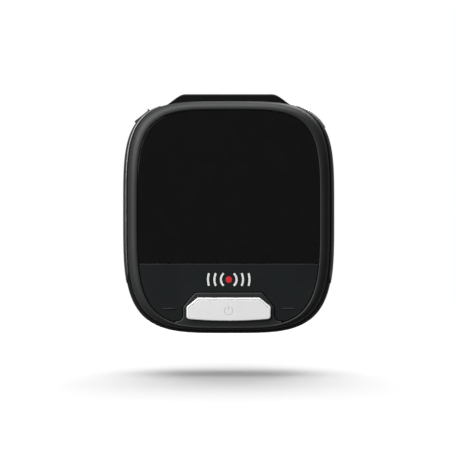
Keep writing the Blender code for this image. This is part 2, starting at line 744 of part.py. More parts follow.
def make_rocker_panel():
    outline = clip(flat(outline_ring(LENS_OPENING, 0, -PANEL_GAP - 0.05 * MM)), SEAM_Z - SEAM_GAP, False)
    rocker = plate("rocker_panel", [outline], PANEL_FRONT_Y, PANEL_BACK_Y)
    notch = plate("rocker_notch", [island_outline(ISLAND_CLEARANCE)], CREST_Y - MM, FLOOR_BACK_Y)
    boolean(rocker, notch, "DIFFERENCE")
    post_x, post_z = ROCKER_POST
    post_places = [(-post_x, post_z), (post_x, post_z)]
    posts = rods_along_y(post_places, PANEL_BACK_Y - 0.4 * MM, ROCKER_POST_END_Y, ROCKER_POST_RADIUS)
    boolean(rocker, cylinders("rocker_posts", posts), "UNION")
    bar_x, bar_z = TACTILE_BAR
    half_x, half_z = TACTILE_BAR_HALF
    raised = [
        (
            (side * bar_x - half_x, PANEL_FRONT_Y - TACTILE_BAR_RISE, bar_z - half_z),
            (side * bar_x + half_x, PANEL_FRONT_Y + 0.3 * MM, bar_z + half_z),
        )
        for side in (-1, 1)
    ]
    low, high = ROCKER_EYE_Z
    eye = ((-ROCKER_EYE_HALF, PANEL_BACK_Y - 0.4 * MM, low), (ROCKER_EYE_HALF, ROCKER_EYE_BACK_Y, high))
    boolean(rocker, boxes("rocker_bars_and_eye", [*raised, eye]), "UNION")
    bore = ((0, PIVOT_Y, low - MM), (0, PIVOT_Y, high + MM), ROCKER_BORE_RADIUS)
    boolean(rocker, cylinders("rocker_bore", [bore]), "DIFFERENCE")
    set_origin(bake(rocker), (0, PIVOT_Y, sum(ROCKER_EYE_Z) / 2))
    return finish(rocker, "gloss_black_rocker")


def make_rocker_pivot_pin():
    low, high = PIVOT_PIN_Z
    pin = cylinders("rocker_pivot_pin", [((0, PIVOT_Y, low), (0, PIVOT_Y, high), PIVOT_PIN_RADIUS)])
    return finish(pin, "zinc_steel", 40)


def make_power_button():
    sections = [
        (-BUTTON_CHAMFER, BUTTON_FRONT_Y),
        (0.0, BUTTON_FRONT_Y + BUTTON_CHAMFER),
        (0.0, BUTTON_BACK_Y - 0.1 * MM),
    ]
    rings = [[(x, y, z) for x, z in button_outline(grow)] for grow, y in sections]
    button = loft("power_button", rings)
    flange_outline = clip(button_outline(BUTTON_FLANGE), BUTTON_FLANGE_LOW_Z, True)
    boolean(button, plate("button_flange", [flange_outline], BUTTON_FLANGE_Y, BUTTON_BACK_Y), "UNION")
    set_origin(bake(button), (0, BUTTON_FRONT_Y, BUTTON_CENTRE_Z))
    return finish(button, "silver_button")


def housing_hump():
    foot_x, foot_z = HUMP_FOOT
    toe_x, toe_z = HUMP_TOE
    corners = [
        (toe_x - 1.2 * MM, toe_z - 0.1 * MM, 0.0),
        (toe_x, toe_z, 0.0),
        (foot_x, foot_z, 2.5 * MM),
        (HUMP_TOP_HALF, SEAT_HEIGHT, 1.0 * MM),
        (-HUMP_TOP_HALF, SEAT_HEIGHT, 1.0 * MM),
        (-foot_x, foot_z, 2.5 * MM),
        (-toe_x, toe_z, 0.0),
        (-toe_x + 1.2 * MM, toe_z - 0.1 * MM, 0.0),
    ]
    return plate("housing_hump", [rounded(corners)], *HUMP_Y)


def housing_slots():
    centres = [SLOT_PITCH * (i - (SLOT_COUNT - 1) / 2) for i in range(SLOT_COUNT)]
    return boxes(
        "housing_slots",
        [((x - SLOT_HALF, SLOT_Y[0], SLOT_Z[0]), (x + SLOT_HALF, SLOT_Y[1], SLOT_Z[1])) for x in centres],
    )


def housing_box_cuts():
    """Rail grooves, latch detent and the radar opening."""
    groove_low, groove_high = RAIL_GROOVE_Z
    detent_half, detent_front, detent_back, detent_floor = DETENT
    open_x, open_z = RADAR_OPENING
    end_y, outside = HUMP_Y[1] + MM, HUMP_TOE[0] + 2 * MM
    return boxes(
        "housing_box_cuts",
        [
            ((RAIL_HALF, RAIL_START_Y, groove_low), (outside, end_y, groove_high)),
            ((-outside, RAIL_START_Y, groove_low), (-RAIL_HALF, end_y, groove_high)),
            ((-detent_half, detent_front, detent_floor), (detent_half, detent_back, SEAT_HEIGHT + MM)),
            ((-open_x, REAR_FACE_Y - 3 * MM, HORN_Z - open_z), (open_x, REAR_FACE_Y + MM, HORN_Z + open_z)),
        ],
    )


def window_outline(grow=0.0):
    half_x, half_z = RADAR_WINDOW
    corners = [(half_x, -half_z), (half_x, half_z), (-half_x, half_z), (-half_x, -half_z)]
    return grown(rounded([(x, HORN_Z + z, RADAR_WINDOW_RADIUS) for x, z in corners]), grow)


def usb_outline(grow=0.0):
    """Socket outline in the plane of depth and height, as (depth, height)."""
    half_z, half_y = USB_HALF
    corners = [(half_y, -half_z), (half_y, half_z), (-half_y, half_z), (-half_y, -half_z)]
    radius = 1.4 * MM
    return grown(rounded([(USB_Y + y, USB_Z + z, radius) for y, z in corners]), grow)


def usb_rings(grow, x_from, x_to):
    return [[(x, y, z) for y, z in usb_outline(grow)] for x in (x_from, x_to)]


def trim_angles(margin=0.0):
    start, end = TRIM_ANGLES[0] + margin, TRIM_ANGLES[1] - margin
    return [start + (end - start) * i / TRIM_STEPS for i in range(TRIM_STEPS + 1)]


def trim_depths(angles, margin=0.0):
    """Front and back depth of the strip at each angle; its lower tip narrows towards the back."""
    front, back = TRIM_Y[0] - margin, TRIM_Y[1] + margin
    depths = []
    for angle in angles:
        share = max(0.0, 1 - (angle - angles[-1]) / TRIM_TIP_ANGLE)
        depths.append((front + (back - front) * TRIM_TIP_SHARE * share, back))
    return depths


def mirrored(obj):
    """Flips a shape to the other side of the body."""
    obj.data.transform(Matrix.Diagonal((-1, 1, 1, 1)))
    obj.data.flip_normals()
    return obj


def trim_groove(name):
    angles = trim_angles(math.radians(0.3))
    depth = -TRIM_DEPTH - TRIM_GAP
    return shoulder_band(name, angles, trim_depths(angles, TRIM_GAP), 3 * TRIM_PROUD, depth)


def key_opening_left():
    reach = LEFT_KEY_HALF + KEY_GAP
    depth = KEY_HALF_DEPTH + KEY_GAP
    place = shoulder_frame(LEFT_KEY_ANGLE, LEFT_KEY_SLOPE, KEY_Y)
    return box("housing_left_key_hole", (-reach, -depth, -2 * WALL), (reach, depth, WALL), place)


def key_angles(margin=0.0, steps=6):
    low, high = RIGHT_KEY_ANGLES[0] - margin, RIGHT_KEY_ANGLES[1] + margin
    return [low + (high - low) * i / steps for i in range(steps + 1)]


def key_opening_right():
    depth = KEY_HALF_DEPTH + KEY_GAP
    angles = key_angles(math.radians(0.35))
    return shoulder_band(
        "housing_right_key_hole", angles, [(KEY_Y - depth, KEY_Y + depth)] * len(angles), WALL, -2.4 * WALL
    )


def make_rear_housing():
    rings = [outline_ring(housing_size(y), y) for y, *_ in HOUSING_STATIONS]
    housing = loft("rear_housing", rings, cap_first=False)
    shell = housing.modifiers.new("wall", "SOLIDIFY")
    shell.thickness = WALL
    shell.offset = -1
    shell.use_even_offset = True
    boolean(housing, housing_hump(), "UNION")
    tube_places = CASE_SCREWS.values()
    tubes = rods_along_y(tube_places, TUBE_END_Y, REAR_FACE_Y - 0.8 * MM, TUBE_RADIUS)
    boolean(housing, cylinders("housing_tubes", tubes), "UNION")
    counterbores = rods_along_y(tube_places, SCREW_SEAT_Y, REAR_FACE_Y + MM, COUNTERBORE_RADIUS)
    lens_axis = [(0, LASER_Z)]
    lens_seat = rods_along_y(lens_axis, LASER_SEAT_Y, REAR_FACE_Y + MM, LASER_RIM_RADIUS + 0.1 * MM)
    boolean(housing, cylinders("housing_counterbores", counterbores + lens_seat, 32), "DIFFERENCE")
    holes = rods_along_y(tube_places, TUBE_END_Y - MM, SCREW_SEAT_Y + 0.5 * MM, PILOT_RADIUS)
    lens_bore = LASER_LENS_RADIUS + 0.1 * MM
    lens_hole = rods_along_y(lens_axis, REAR_FACE_Y - 4 * MM, REAR_FACE_Y, lens_bore)
    boolean(housing, cylinders("housing_holes", holes + lens_hole, 32), "DIFFERENCE")
    boolean(housing, housing_slots(), "DIFFERENCE")
    boolean(housing, housing_box_cuts(), "DIFFERENCE")
    seat_y = RADAR_WINDOW_Y[0] - 0.1 * MM
    window_seat = plate("housing_window_seat", [window_outline(0.12 * MM)], seat_y, REAR_FACE_Y + MM)
    boolean(housing, window_seat, "DIFFERENCE")
    port = loft("housing_usb_port", usb_rings(USB_PORT_MARGIN, 26 * MM, 32 * MM))
    boolean(housing, port, "DIFFERENCE")
    boolean(housing, trim_groove("housing_right_groove"), "DIFFERENCE")
    boolean(housing, mirrored(trim_groove("housing_left_groove")), "DIFFERENCE")
    boolean(housing, key_opening_left(), "DIFFERENCE")
    boolean(housing, key_opening_right(), "DIFFERENCE")
    return finish(housing, "housing_black_plastic", 35)


def make_trim_strip(name):
    angles = trim_angles()
    return shoulder_band(name, angles, trim_depths(angles), TRIM_PROUD, -TRIM_DEPTH)


def make_trim_strips():
    finish(make_trim_strip("right_trim_strip"), "dark_chrome", 35)
    finish(mirrored(make_trim_strip("left_trim_strip")), "dark_chrome", 35)


def make_radar_window():
    return finish(plate("radar_window", [window_outline()], *RADAR_WINDOW_Y), "smoked_window")


def make_laser_lens():
    """Plano-convex lens with a rim; its dome faces the road."""
    rim_front, rim_back = 0.05 * MM, 0.8 * MM
    dome_rise, flat_back = 1.1 * MM, -0.75 * MM
    dome = []
    for share in (0.0, 0.25, 0.5, 0.75, 1.0):
        radius = LASER_LENS_RADIUS * share
        dome.append((radius, rim_back + dome_rise * (1 - share * share)))
    profile = [
        *dome,
        (LASER_RIM_RADIUS, rim_back - 0.1 * MM),
        (LASER_RIM_RADIUS, rim_front),
        (LASER_LENS_RADIUS, rim_front),
        (LASER_LENS_RADIUS, flat_back),
        (0.0, flat_back),
    ]
    lens = turned("laser_lens", profile, along_road(0, LASER_SEAT_Y, LASER_Z))
    return finish(lens, "red_lens", 30)


# ---------------------------------------------------------------- keys and switches


def key_frames():
    """Left and right corner key places on the shoulder."""
    middle = sum(RIGHT_KEY_ANGLES) / 2
    return {
        "left": shoulder_frame(LEFT_KEY_ANGLE, LEFT_KEY_SLOPE, KEY_Y),
        "right": shoulder_frame(middle, RIGHT_KEY_SLOPE, KEY_Y),
    }


def add_key_flange(key, frame, half_length, span):
    """Collar inside the wall that keeps a corner key from falling out."""
    reach = half_length + KEY_FLANGE_MARGIN
    depth = KEY_HALF_DEPTH + KEY_FLANGE_DEPTH
    flange = box(f"{key.name}_flange", (-reach, -depth, span[0]), (reach, depth, span[1]), frame)
    boolean(key, flange, "UNION")


def make_left_corner_key(frame):
    depth = KEY_HALF_DEPTH
    low = (-LEFT_KEY_HALF, -depth, LEFT_KEY_FLANGE[1] - 0.2 * MM)
    high = (LEFT_KEY_HALF, depth, LEFT_KEY_PROUD)
    key = box("left_corner_key", low, high, frame)
    add_key_flange(key, frame, LEFT_KEY_HALF, LEFT_KEY_FLANGE)
    ridge_from, ridge_to, ridge_rise = LEFT_KEY_RIDGE
    low = (ridge_from, -depth + 0.1 * MM, 0)
    high = (ridge_to, depth - 0.1 * MM, LEFT_KEY_PROUD + ridge_rise)
    boolean(key, box("left_key_ridge", low, high, frame), "UNION")
    set_origin(bake(key), frame.translation)
    finish(key, "black_key")


def make_right_corner_key(frame):
    angles = key_angles()
    depths = [(KEY_Y - KEY_HALF_DEPTH, KEY_Y + KEY_HALF_DEPTH)] * len(angles)
    key = shoulder_band("right_corner_key", angles, depths, RIGHT_KEY_PROUD, RIGHT_KEY_INNER)
    add_key_flange(key, frame, RIGHT_KEY_HALF, RIGHT_KEY_FLANGE)
    set_origin(bake(key), frame.translation)
    finish(key, "silver_key", 35)


def make_corner_keys():
    frames = key_frames()
    make_left_corner_key(frames["left"])
    make_right_corner_key(frames["right"])


def make_switch(prefix, place, half_depth=SWITCH_HALF):
    """Push switch whose own +Z is the way the plunger stands out; its foot is at the place's origin."""
    high = (SWITCH_HALF, half_depth, SWITCH_HEIGHT)
    body = box(f"{prefix}_switch_body", (-SWITCH_HALF, -half_depth, 0), high)
    body.matrix_basis = place
    bore_rod = ((0, 0, SWITCH_HEIGHT - SWITCH_BORE_DEPTH), (0, 0, SWITCH_HEIGHT + MM), SWITCH_BORE)
    bore = cylinders(f"{prefix}_switch_bore", [bore_rod])
    bore.matrix_basis = place
    boolean(body, bore, "DIFFERENCE")
    finish(body, "switch_black")
    plunger_rod = ((0, 0, PLUNGER_BASE), (0, 0, PLUNGER_TOP), PLUNGER_RADIUS)
    plunger = cylinders(f"{prefix}_switch_plunger", [plunger_rod])
    plunger.matrix_basis = place
    finish(plunger, "plunger_grey", 40)


def make_switches():
    foot_y = BOARD_Y[0] - COMPONENT_GAP
    make_switch("power", towards_driver(0, foot_y, BUTTON_CENTRE_Z))
    post_x, post_z = ROCKER_POST
    make_switch("rocker_left", towards_driver(-post_x, foot_y, post_z))
    make_switch("rocker_right", towards_driver(post_x, foot_y, post_z))
    ends = {"left": LEFT_KEY_FLANGE[0], "right": RIGHT_KEY_FLANGE[0]}
    for side, frame in key_frames().items():
        drop = ends[side] - KEY_TO_PLUNGER - PLUNGER_TOP
        make_switch(f"{side}_corner", frame @ Matrix.Translation((0, 0, drop)), SIDE_SWITCH_HALF_DEPTH)


# ---------------------------------------------------------------- display and boards


def make_display():
    low, high = DISPLAY_Z
    for name, (front, back), look in (
        ("display_glass", DISPLAY_GLASS_Y, "display_glass"),
        ("display_backlight", BACKLIGHT_Y, "white_moulding"),
    ):
        finish(box(name, (-DISPLAY_HALF, front, low), (DISPLAY_HALF, back, high)), look)


def make_display_flex():
    """Ribbon from the display's lower edge back and down to the connector on the board."""
    front_y = DISPLAY_GLASS_Y[0] + 0.7 * MM
    back_y = BOARD_Y[0] - COMPONENT_GAP - FLEX_SOCKET_HEIGHT / 2
    leave_z, bend_z = DISPLAY_Z[0] - 0.15 * MM, DISPLAY_Z[0] - 0.6 * MM
    land_z = FLEX_SOCKET_Z[1] + 0.05 * MM
    path = [(front_y, leave_z)]
    for share in (0.0, 0.15, 0.3, 0.5, 0.7, 0.85, 1.0):
        smooth = share * share * (3 - 2 * share)
        path.append((front_y + (back_y - front_y) * smooth, bend_z + (land_z + 0.5 * MM - bend_z) * share))
    path.append((back_y, land_z))
    rings = []
    for i, (y, z) in enumerate(path):
        before, after = Vector(path[max(i - 1, 0)]), Vector(path[min(i + 1, len(path) - 1)])
        along = (after - before).normalized()
        side = Vector((along.y, -along.x)) * (FLEX_THICKNESS / 2)
        rings.append(
            [
                (FLEX_X[0], y - side.x, z - side.y),
                (FLEX_X[1], y - side.x, z - side.y),
                (FLEX_X[1], y + side.x, z + side.y),
                (FLEX_X[0], y + side.x, z + side.y),
            ]
        )
    finish(loft("display_flex", rings), "amber_film", 35)


def make_main_board():
    outline = flat(outline_ring(BOARD_SIZE, 0))
    case_holes = [circle(x, z, 1.2 * MM) for x, z in CASE_SCREWS.values()]
    board_holes = [circle(x, z, 1.15 * MM) for x, z in [*BOARD_SCREWS.values(), *HORN_SCREWS.values()]]
    finish(plate("main_board", [outline, *case_holes, *board_holes], *BOARD_Y), "green_board")


def make_board_components():
    rear = BOARD_Y[1] + COMPONENT_GAP
    front = BOARD_Y[0] - COMPONENT_GAP
    chips = {
        "processor_chip": ((-23.0, -8.0), (-13.0, 2.0), 1.3, "chip_black"),
        "memory_chip": ((-22.0, -16.5), (-14.0, -10.5), 1.0, "chip_black"),
        "power_inductor": ((9.0, -17.0), (15.0, -11.0), 3.0, "ferrite"),
    }
    for name, ((x0, z0), (x1, z1), height, look) in chips.items():
        finish(box(name, (x0 * MM, rear, z0 * MM), (x1 * MM, rear + height * MM, z1 * MM)), look)
    low, high = FLEX_SOCKET_Z
    connector = box(
        "flex_connector",
        (FLEX_X[0] - FLEX_SOCKET_MARGIN, front - FLEX_SOCKET_HEIGHT, low),
        (FLEX_X[1] + FLEX_SOCKET_MARGIN, front, high),
    )
    finish(connector, "ivory_connector")


def make_usb_socket():
    wall = 0.3 * MM
    x0, x1 = USB_X
    rings = usb_rings(0, x0, x1) + [usb_rings(-wall, x1, x1)[0], usb_rings(-wall, x0 + 1.2 * MM, x1)[0]]
    finish(loft("usb_socket", rings), "tin_plate", 35)
    tongue_z, tongue_y = 3.3 * MM, 0.35 * MM
    tongue = box(
        "usb_tongue",
        (x0 + 1.25 * MM, USB_Y - tongue_y, USB_Z - tongue_z),
        (x1 - 0.6 * MM, USB_Y + tongue_y, USB_Z + tongue_z),
    )
    finish(tongue, "switch_black")


# ---------------------------------------------------------------- radar, laser and satellite parts


def rectangle_ring(half, y, centre_z=HORN_Z):
    half_x, half_z = half
    return [
        (-half_x, y, centre_z - half_z),
        (half_x, y, centre_z - half_z),
        (half_x, y, centre_z + half_z),
        (-half_x, y, centre_z + half_z),
    ]


def make_horn_antenna():
    """Die-cast flange, waveguide block and flared mouth, open to the road."""
    guide_inner = tuple(value - HORN_WALL - 0.5 * MM for value in HORN_GUIDE)
    mouth_inner = tuple(value - HORN_WALL for value in HORN_MOUTH)
    horn = loft(
        "horn_antenna",
        [
            rectangle_ring(HORN_FLANGE, HORN_FLANGE_Y[0]),
            rectangle_ring(HORN_FLANGE, HORN_FLANGE_Y[1]),
            rectangle_ring(HORN_GUIDE, HORN_FLANGE_Y[1]),
            rectangle_ring(HORN_GUIDE, HORN_THROAT_Y),
            rectangle_ring(HORN_MOUTH, HORN_MOUTH_Y),
            rectangle_ring(mouth_inner, HORN_MOUTH_Y),
            rectangle_ring(guide_inner, HORN_THROAT_Y),
            rectangle_ring(guide_inner, HORN_FLOOR_Y),
        ],
    )
    rods = rods_along_y(HORN_SCREWS.values(), HORN_FLANGE_Y[0] - MM, HORN_FLANGE_Y[1] + MM, PILOT_RADIUS)
    boolean(horn, cylinders("horn_screw_holes", rods), "DIFFERENCE")
    return finish(horn, "die_cast")


def make_rf_parts():
    half_x, half_z = HORN_FLANGE
    outline = rectangle(half_x, HORN_Z - half_z, HORN_Z + half_z)
    holes = [circle(x, z, PILOT_RADIUS) for x, z in HORN_SCREWS.values()]
    finish(plate("rf_board", [outline, *holes], *RF_BOARD_Y), "blue_board")
    closed_y, open_y = RF_SHIELD_Y
    inner = tuple(value - RF_SHIELD_WALL for value in RF_SHIELD)
    shield = loft(
        "rf_shield",
        [
            rectangle_ring(RF_SHIELD, closed_y),
            rectangle_ring(RF_SHIELD, open_y),
            rectangle_ring(inner, open_y),
            rectangle_ring(inner, closed_y + RF_SHIELD_WALL),
        ],
    )
    finish(shield, "tin_plate")
    for side, (x, z) in HORN_SCREWS.items():
        rings = [circle(x, z, STANDOFF_RADIUS, 6), circle(x, z, PILOT_RADIUS)]
        low, high = BOARD_Y[1] + COMPONENT_GAP, RF_BOARD_Y[0] - COMPONENT_GAP
        finish(plate(f"rf_standoff_{side}", rings, low, high), "brass")


def make_laser_sensor():
    half, (low_y, high_y) = LASER_BOARD_HALF, LASER_BOARD_Y
    board = box("laser_board", (-half, low_y, LASER_Z - half), (half, high_y, LASER_Z + half))
    finish(board, "blue_board")
    can_mm = [(0.0, 3.2), (1.6, 3.1), (2.3, 2.4), (2.3, 0.6), (2.8, 0.6), (2.8, 0.0), (0.0, 0.0)]
    can = [(radius * MM, height * MM) for radius, height in can_mm]
    diode = turned("laser_photodiode", can, along_road(0, high_y + COMPONENT_GAP, LASER_Z), 24)
    finish(diode, "tin_plate", 30)
    header = box(
        "laser_pin_header",
        (-5 * MM, BOARD_Y[1] + COMPONENT_GAP, LASER_HEADER_Z - 1.2 * MM),
        (5 * MM, low_y - COMPONENT_GAP, LASER_HEADER_Z + 1.2 * MM),
    )
    finish(header, "switch_black")


def make_gps_antenna():
    for name, half, (low, high), look in (
        ("gps_board", GPS_BOARD_HALF, GPS_BOARD_Z, "green_board"),
        ("gps_patch_antenna", GPS_PATCH_HALF, GPS_PATCH_Z, "ceramic"),
    ):
        finish(box(name, (-half, GPS_Y - half, low), (half, GPS_Y + half, high)), look)


# ---------------------------------------------------------------- loudspeaker and fasteners


def speaker_outline(shrink):
    half_x, half_y = (value - shrink for value in SPEAKER_HALF)
    radius = max(SPEAKER_RADIUS - shrink, 0.8 * MM)
    corners = [(half_x, -half_y), (half_x, half_y), (-half_x, half_y), (-half_x, -half_y)]
    return rounded([(x, SPEAKER_Y + y, radius) for x, y in corners])


def make_speaker():
    low, high = SPEAKER_FRAME_Z
    shelf = high - 0.6 * MM
    rim = [speaker_outline(0), speaker_outline(SPEAKER_RIM)]
    frame = plate("speaker_frame", rim, low, shelf + 0.1 * MM, "Z")
    magnet_hole = circle(0, SPEAKER_Y, SPEAKER_MAGNET_RADIUS - 0.8 * MM)
    back = plate("speaker_frame_back", [speaker_outline(0.4 * MM), magnet_hole], shelf, high, "Z")
    boolean(frame, back, "UNION")
    finish(frame, "black_steel")
    cone_outline = speaker_outline(SPEAKER_RIM + 0.3 * MM)
    cone = plate("speaker_cone", [cone_outline], low + 0.1 * MM, low + 0.45 * MM, "Z")
    coil = ((0, SPEAKER_Y, low + 0.3 * MM), (0, SPEAKER_Y, high - 0.1 * MM), SPEAKER_COIL_RADIUS)
    boolean(cone, cylinders("speaker_coil", [coil]), "UNION")
    finish(cone, "cone_black")
    magnet_low, magnet_high = SPEAKER_MAGNET_Z
    magnet_rod = ((0, SPEAKER_Y, magnet_low), (0, SPEAKER_Y, magnet_high), SPEAKER_MAGNET_RADIUS)
    finish(cylinders("speaker_magnet", [magnet_rod], 32), "ferrite", 40)
    gasket = [speaker_outline(0), speaker_outline(SPEAKER_RIM - 0.3 * MM)]
    finish(plate("speaker_gasket", gasket, *SPEAKER_GASKET_Z, "Z"), "foam_black")


def make_speaker_wires():
    """Two leads that rise from the loudspeaker's back and turn in to the board."""
    start_z = SPEAKER_FRAME_Z[1]
    board_z = start_z + 4.6 * MM
    for colour, x in (("red", 9.0 * MM), ("black", 11.0 * MM)):
        bend_x = x - 1.5 * MM
        path = [
            (x, SPEAKER_Y - 2 * MM, start_z + 0.5 * MM),
            (x, SPEAKER_Y - 3 * MM, start_z + 2.2 * MM),
            (x - MM, SPEAKER_Y - 5 * MM, start_z + 3.8 * MM),
            (bend_x, BOARD_Y[1] + 1.4 * MM, board_z),
            (bend_x, BOARD_Y[1] + 0.1 * MM, board_z),
        ]
        finish(wire(f"speaker_wire_{colour}", path, WIRE_RADIUS), f"{colour}_wire")


def screw_mesh(length):
    """Pan-head screw along its own Z: head above the origin, shank below, cross recess in the head."""
    profile = [
        (0.0, HEAD_HEIGHT),
        (HEAD_RADIUS * 0.6, HEAD_HEIGHT),
        (HEAD_RADIUS, HEAD_HEIGHT * 0.55),
        (HEAD_RADIUS, 0.05 * MM),
        (SCREW_RADIUS, 0.05 * MM),
        (SCREW_RADIUS, -length + 0.6 * MM),
        (SCREW_RADIUS * 0.3, -length),
        (0.0, -length),
    ]
    screw = turned("screw_blank", profile, Matrix.Identity(4), 12)
    long_half, short_half, floor = 1.1 * MM, 0.25 * MM, HEAD_HEIGHT - 0.7 * MM
    for along_x in (True, False):
        half_x, half_y = (long_half, short_half) if along_x else (short_half, long_half)
        slot = box("screw_slot", (-half_x, -half_y, floor), (half_x, half_y, HEAD_HEIGHT + MM))
        boolean(screw, slot, "DIFFERENCE")
    mesh = bake(screw).data
    bpy.data.objects.remove(screw, do_unlink=True)
    return mesh


def make_screws():
    """All screws are driven from the road side."""
    groups = (
        ("case_screw", CASE_SCREWS, CASE_SCREW_LENGTH, SCREW_SEAT_Y, "black_steel"),
        ("board_screw", BOARD_SCREWS, BOARD_SCREW_LENGTH, BOARD_Y[1], "zinc_steel"),
        ("horn_screw", HORN_SCREWS, HORN_SCREW_LENGTH, HORN_FLANGE_Y[1], "zinc_steel"),
    )
    for prefix, places, length, seat_y, look in groups:
        mesh = screw_mesh(length)
        for where, (x, z) in places.items():
            screw = add_object(f"{prefix}_{where}", mesh, along_road(x, seat_y, z))
            finish(screw, look, 30)


def main():
    clear_scene()
    waist = bpy.data.objects.new("waist", None)
    collection(COLLECTION).objects.link(waist)
    waist.location = (0, 0, -SEAT_HEIGHT)
    make_front_bezel()
    make_display_lens()
    make_lens_tape()
    make_rocker_panel()
    make_rocker_pivot_pin()
    make_power_button()
    make_rear_housing()
    make_trim_strips()
    make_radar_window()
    make_laser_lens()
    make_corner_keys()
    make_switches()
    make_display()
    make_display_flex()
    make_main_board()
    make_board_components()
    make_usb_socket()
    make_horn_antenna()
    make_rf_parts()
    make_laser_sensor()
    make_gps_antenna()
    make_speaker()
    make_speaker_wires()
    make_screws()
    bpy.context.view_layer.update()


main()
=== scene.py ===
"""Looks of the windscreen radar detector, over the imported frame, in a plain studio.

Shapes are built around the waist, the level where the housing is widest, in the frame's axes:
-Y is the driver's side, +Y the road side. Sizes are in metres.
"""

import functools
import json
import math

import bmesh
import bpy
from mathutils import Matrix, Vector


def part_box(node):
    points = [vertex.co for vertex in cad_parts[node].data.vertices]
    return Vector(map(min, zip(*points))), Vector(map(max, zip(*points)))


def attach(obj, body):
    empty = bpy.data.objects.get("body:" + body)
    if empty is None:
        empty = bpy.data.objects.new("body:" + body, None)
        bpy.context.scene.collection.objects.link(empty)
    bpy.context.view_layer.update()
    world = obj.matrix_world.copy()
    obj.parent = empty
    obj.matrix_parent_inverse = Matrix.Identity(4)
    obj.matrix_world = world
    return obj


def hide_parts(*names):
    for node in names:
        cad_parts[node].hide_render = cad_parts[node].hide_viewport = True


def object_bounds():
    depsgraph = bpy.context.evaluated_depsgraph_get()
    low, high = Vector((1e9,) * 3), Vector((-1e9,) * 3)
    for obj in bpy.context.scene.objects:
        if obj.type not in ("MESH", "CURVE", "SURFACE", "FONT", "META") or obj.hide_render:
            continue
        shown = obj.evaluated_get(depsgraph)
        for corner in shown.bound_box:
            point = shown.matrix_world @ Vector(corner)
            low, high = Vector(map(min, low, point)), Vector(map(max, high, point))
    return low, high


# One millimetre, in metres.
MM = 0.001

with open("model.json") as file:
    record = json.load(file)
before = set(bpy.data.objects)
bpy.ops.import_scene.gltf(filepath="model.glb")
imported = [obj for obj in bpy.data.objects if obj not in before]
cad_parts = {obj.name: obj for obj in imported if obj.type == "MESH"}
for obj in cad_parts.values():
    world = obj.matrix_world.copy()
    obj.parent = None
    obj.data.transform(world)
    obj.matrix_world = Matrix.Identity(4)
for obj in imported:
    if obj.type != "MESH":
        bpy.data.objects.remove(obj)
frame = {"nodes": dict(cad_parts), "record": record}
packed_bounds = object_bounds()
NODES = frame["nodes"]
RECORD = frame["record"]
BODY_OF = {node: body for body, nodes in RECORD["behaviour"]["bodies"].items() for node in nodes}
SLOT_OF = {part["node"]: part["material_slot"] for part in RECORD["subparts"]}
BOTTOM = 34.3 * MM
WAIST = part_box("rear_housing")[0].z + BOTTOM
TO_WAIST = Matrix.Translation((0, 0, WAIST))


def mm(*values):
    """Millimetres in metres."""
    return tuple(value * MM for value in values)


def local_box(node):
    """Lowest and highest corner of a CAD node, measured from the waist."""
    low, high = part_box(node)
    return low - TO_WAIST.translation, high - TO_WAIST.translation


def centre_of(node):
    """Centre of a CAD node, measured from the waist."""
    return [(low + high) / 2 for low, high in zip(*local_box(node))]


# ---- Fineness ----
OUTLINE_POINTS = 240
STATION_STEPS = 4
FACE_STEPS = 18
TRIM_STEPS = 96
CORNER_STEPS = 8
TUBE_SIDES = 10

# ---- Body outline ----
TOP_POWER = 4.1
BOTTOM_POWER = 3.9
HOUSING_HIGH = local_box("rear_housing")[1]
HALF_WIDTH = HOUSING_HIGH.x
SEAT = HOUSING_HIGH.z
TOP = 31.6 * MM
REAR_Y = HOUSING_HIGH.y
WALL = 1.6 * MM

# Depth, then how far the side, the top and the bottom draw in there.
HOUSING_STATIONS = (
    mm(-10.2, 1.42, 0.27, 1.22),
    mm(-10.0, 1.26, 0.15, 1.06),
    mm(-8.4, 0.60, 0.08, 0.50),
    mm(-6.4, 0.20, 0.03, 0.15),
    mm(-3.0, 0.00, 0.00, 0.00),
    mm(3.0, 0.20, 0.10, 0.20),
    mm(8.5, 0.95, 0.50, 0.95),
    mm(12.5, 2.20, 1.20, 2.20),
    mm(14.6, 3.50, 1.95, 3.50),
    mm(15.6, 4.60, 2.75, 4.60),
    mm(16.0, 6.00, 3.90, 6.00),
)

# Overlap of joined shapes, and a hairline that keeps two faces out of one plane.
OVERLAP = 0.4 * MM
HAIRLINE = 0.05 * MM

# ---- Front bezel ----
OPENING = mm(25.6, 28.8, 31.9)
BEZEL_EDGE = mm(28.4, 31.35, 33.0)
SKIRT_OUTER = mm(26.85, 29.6, 31.35)
SKIRT_WALL = 1.1 * MM
CREST_Y = local_box("front_bezel")[0].y
LIP_RADIUS = 0.25 * MM
EDGE_Y = -10.5 * MM
EDGE_RADIUS = 0.25 * MM
SKIRT_END_Y = -8.6 * MM
FLOOR_Y = mm(-11.9, -11.0)
BOSS_RADIUS = 1.9 * MM
BOSS_START_Y = -11.3 * MM
BOSS_END_Y = -7.35 * MM
PILOT_RADIUS = 1.12 * MM
PILOT_START_Y = -10.9 * MM
WINDOW_HALF = 20.8 * MM
WINDOW_Z = mm(-9.2, 22.2)
LUGS_Z = (mm(-22.1, -20.7), mm(-16.3, -14.8))
LUG_HALF = 1.7 * MM
LUG_END_Y = -9.8 * MM

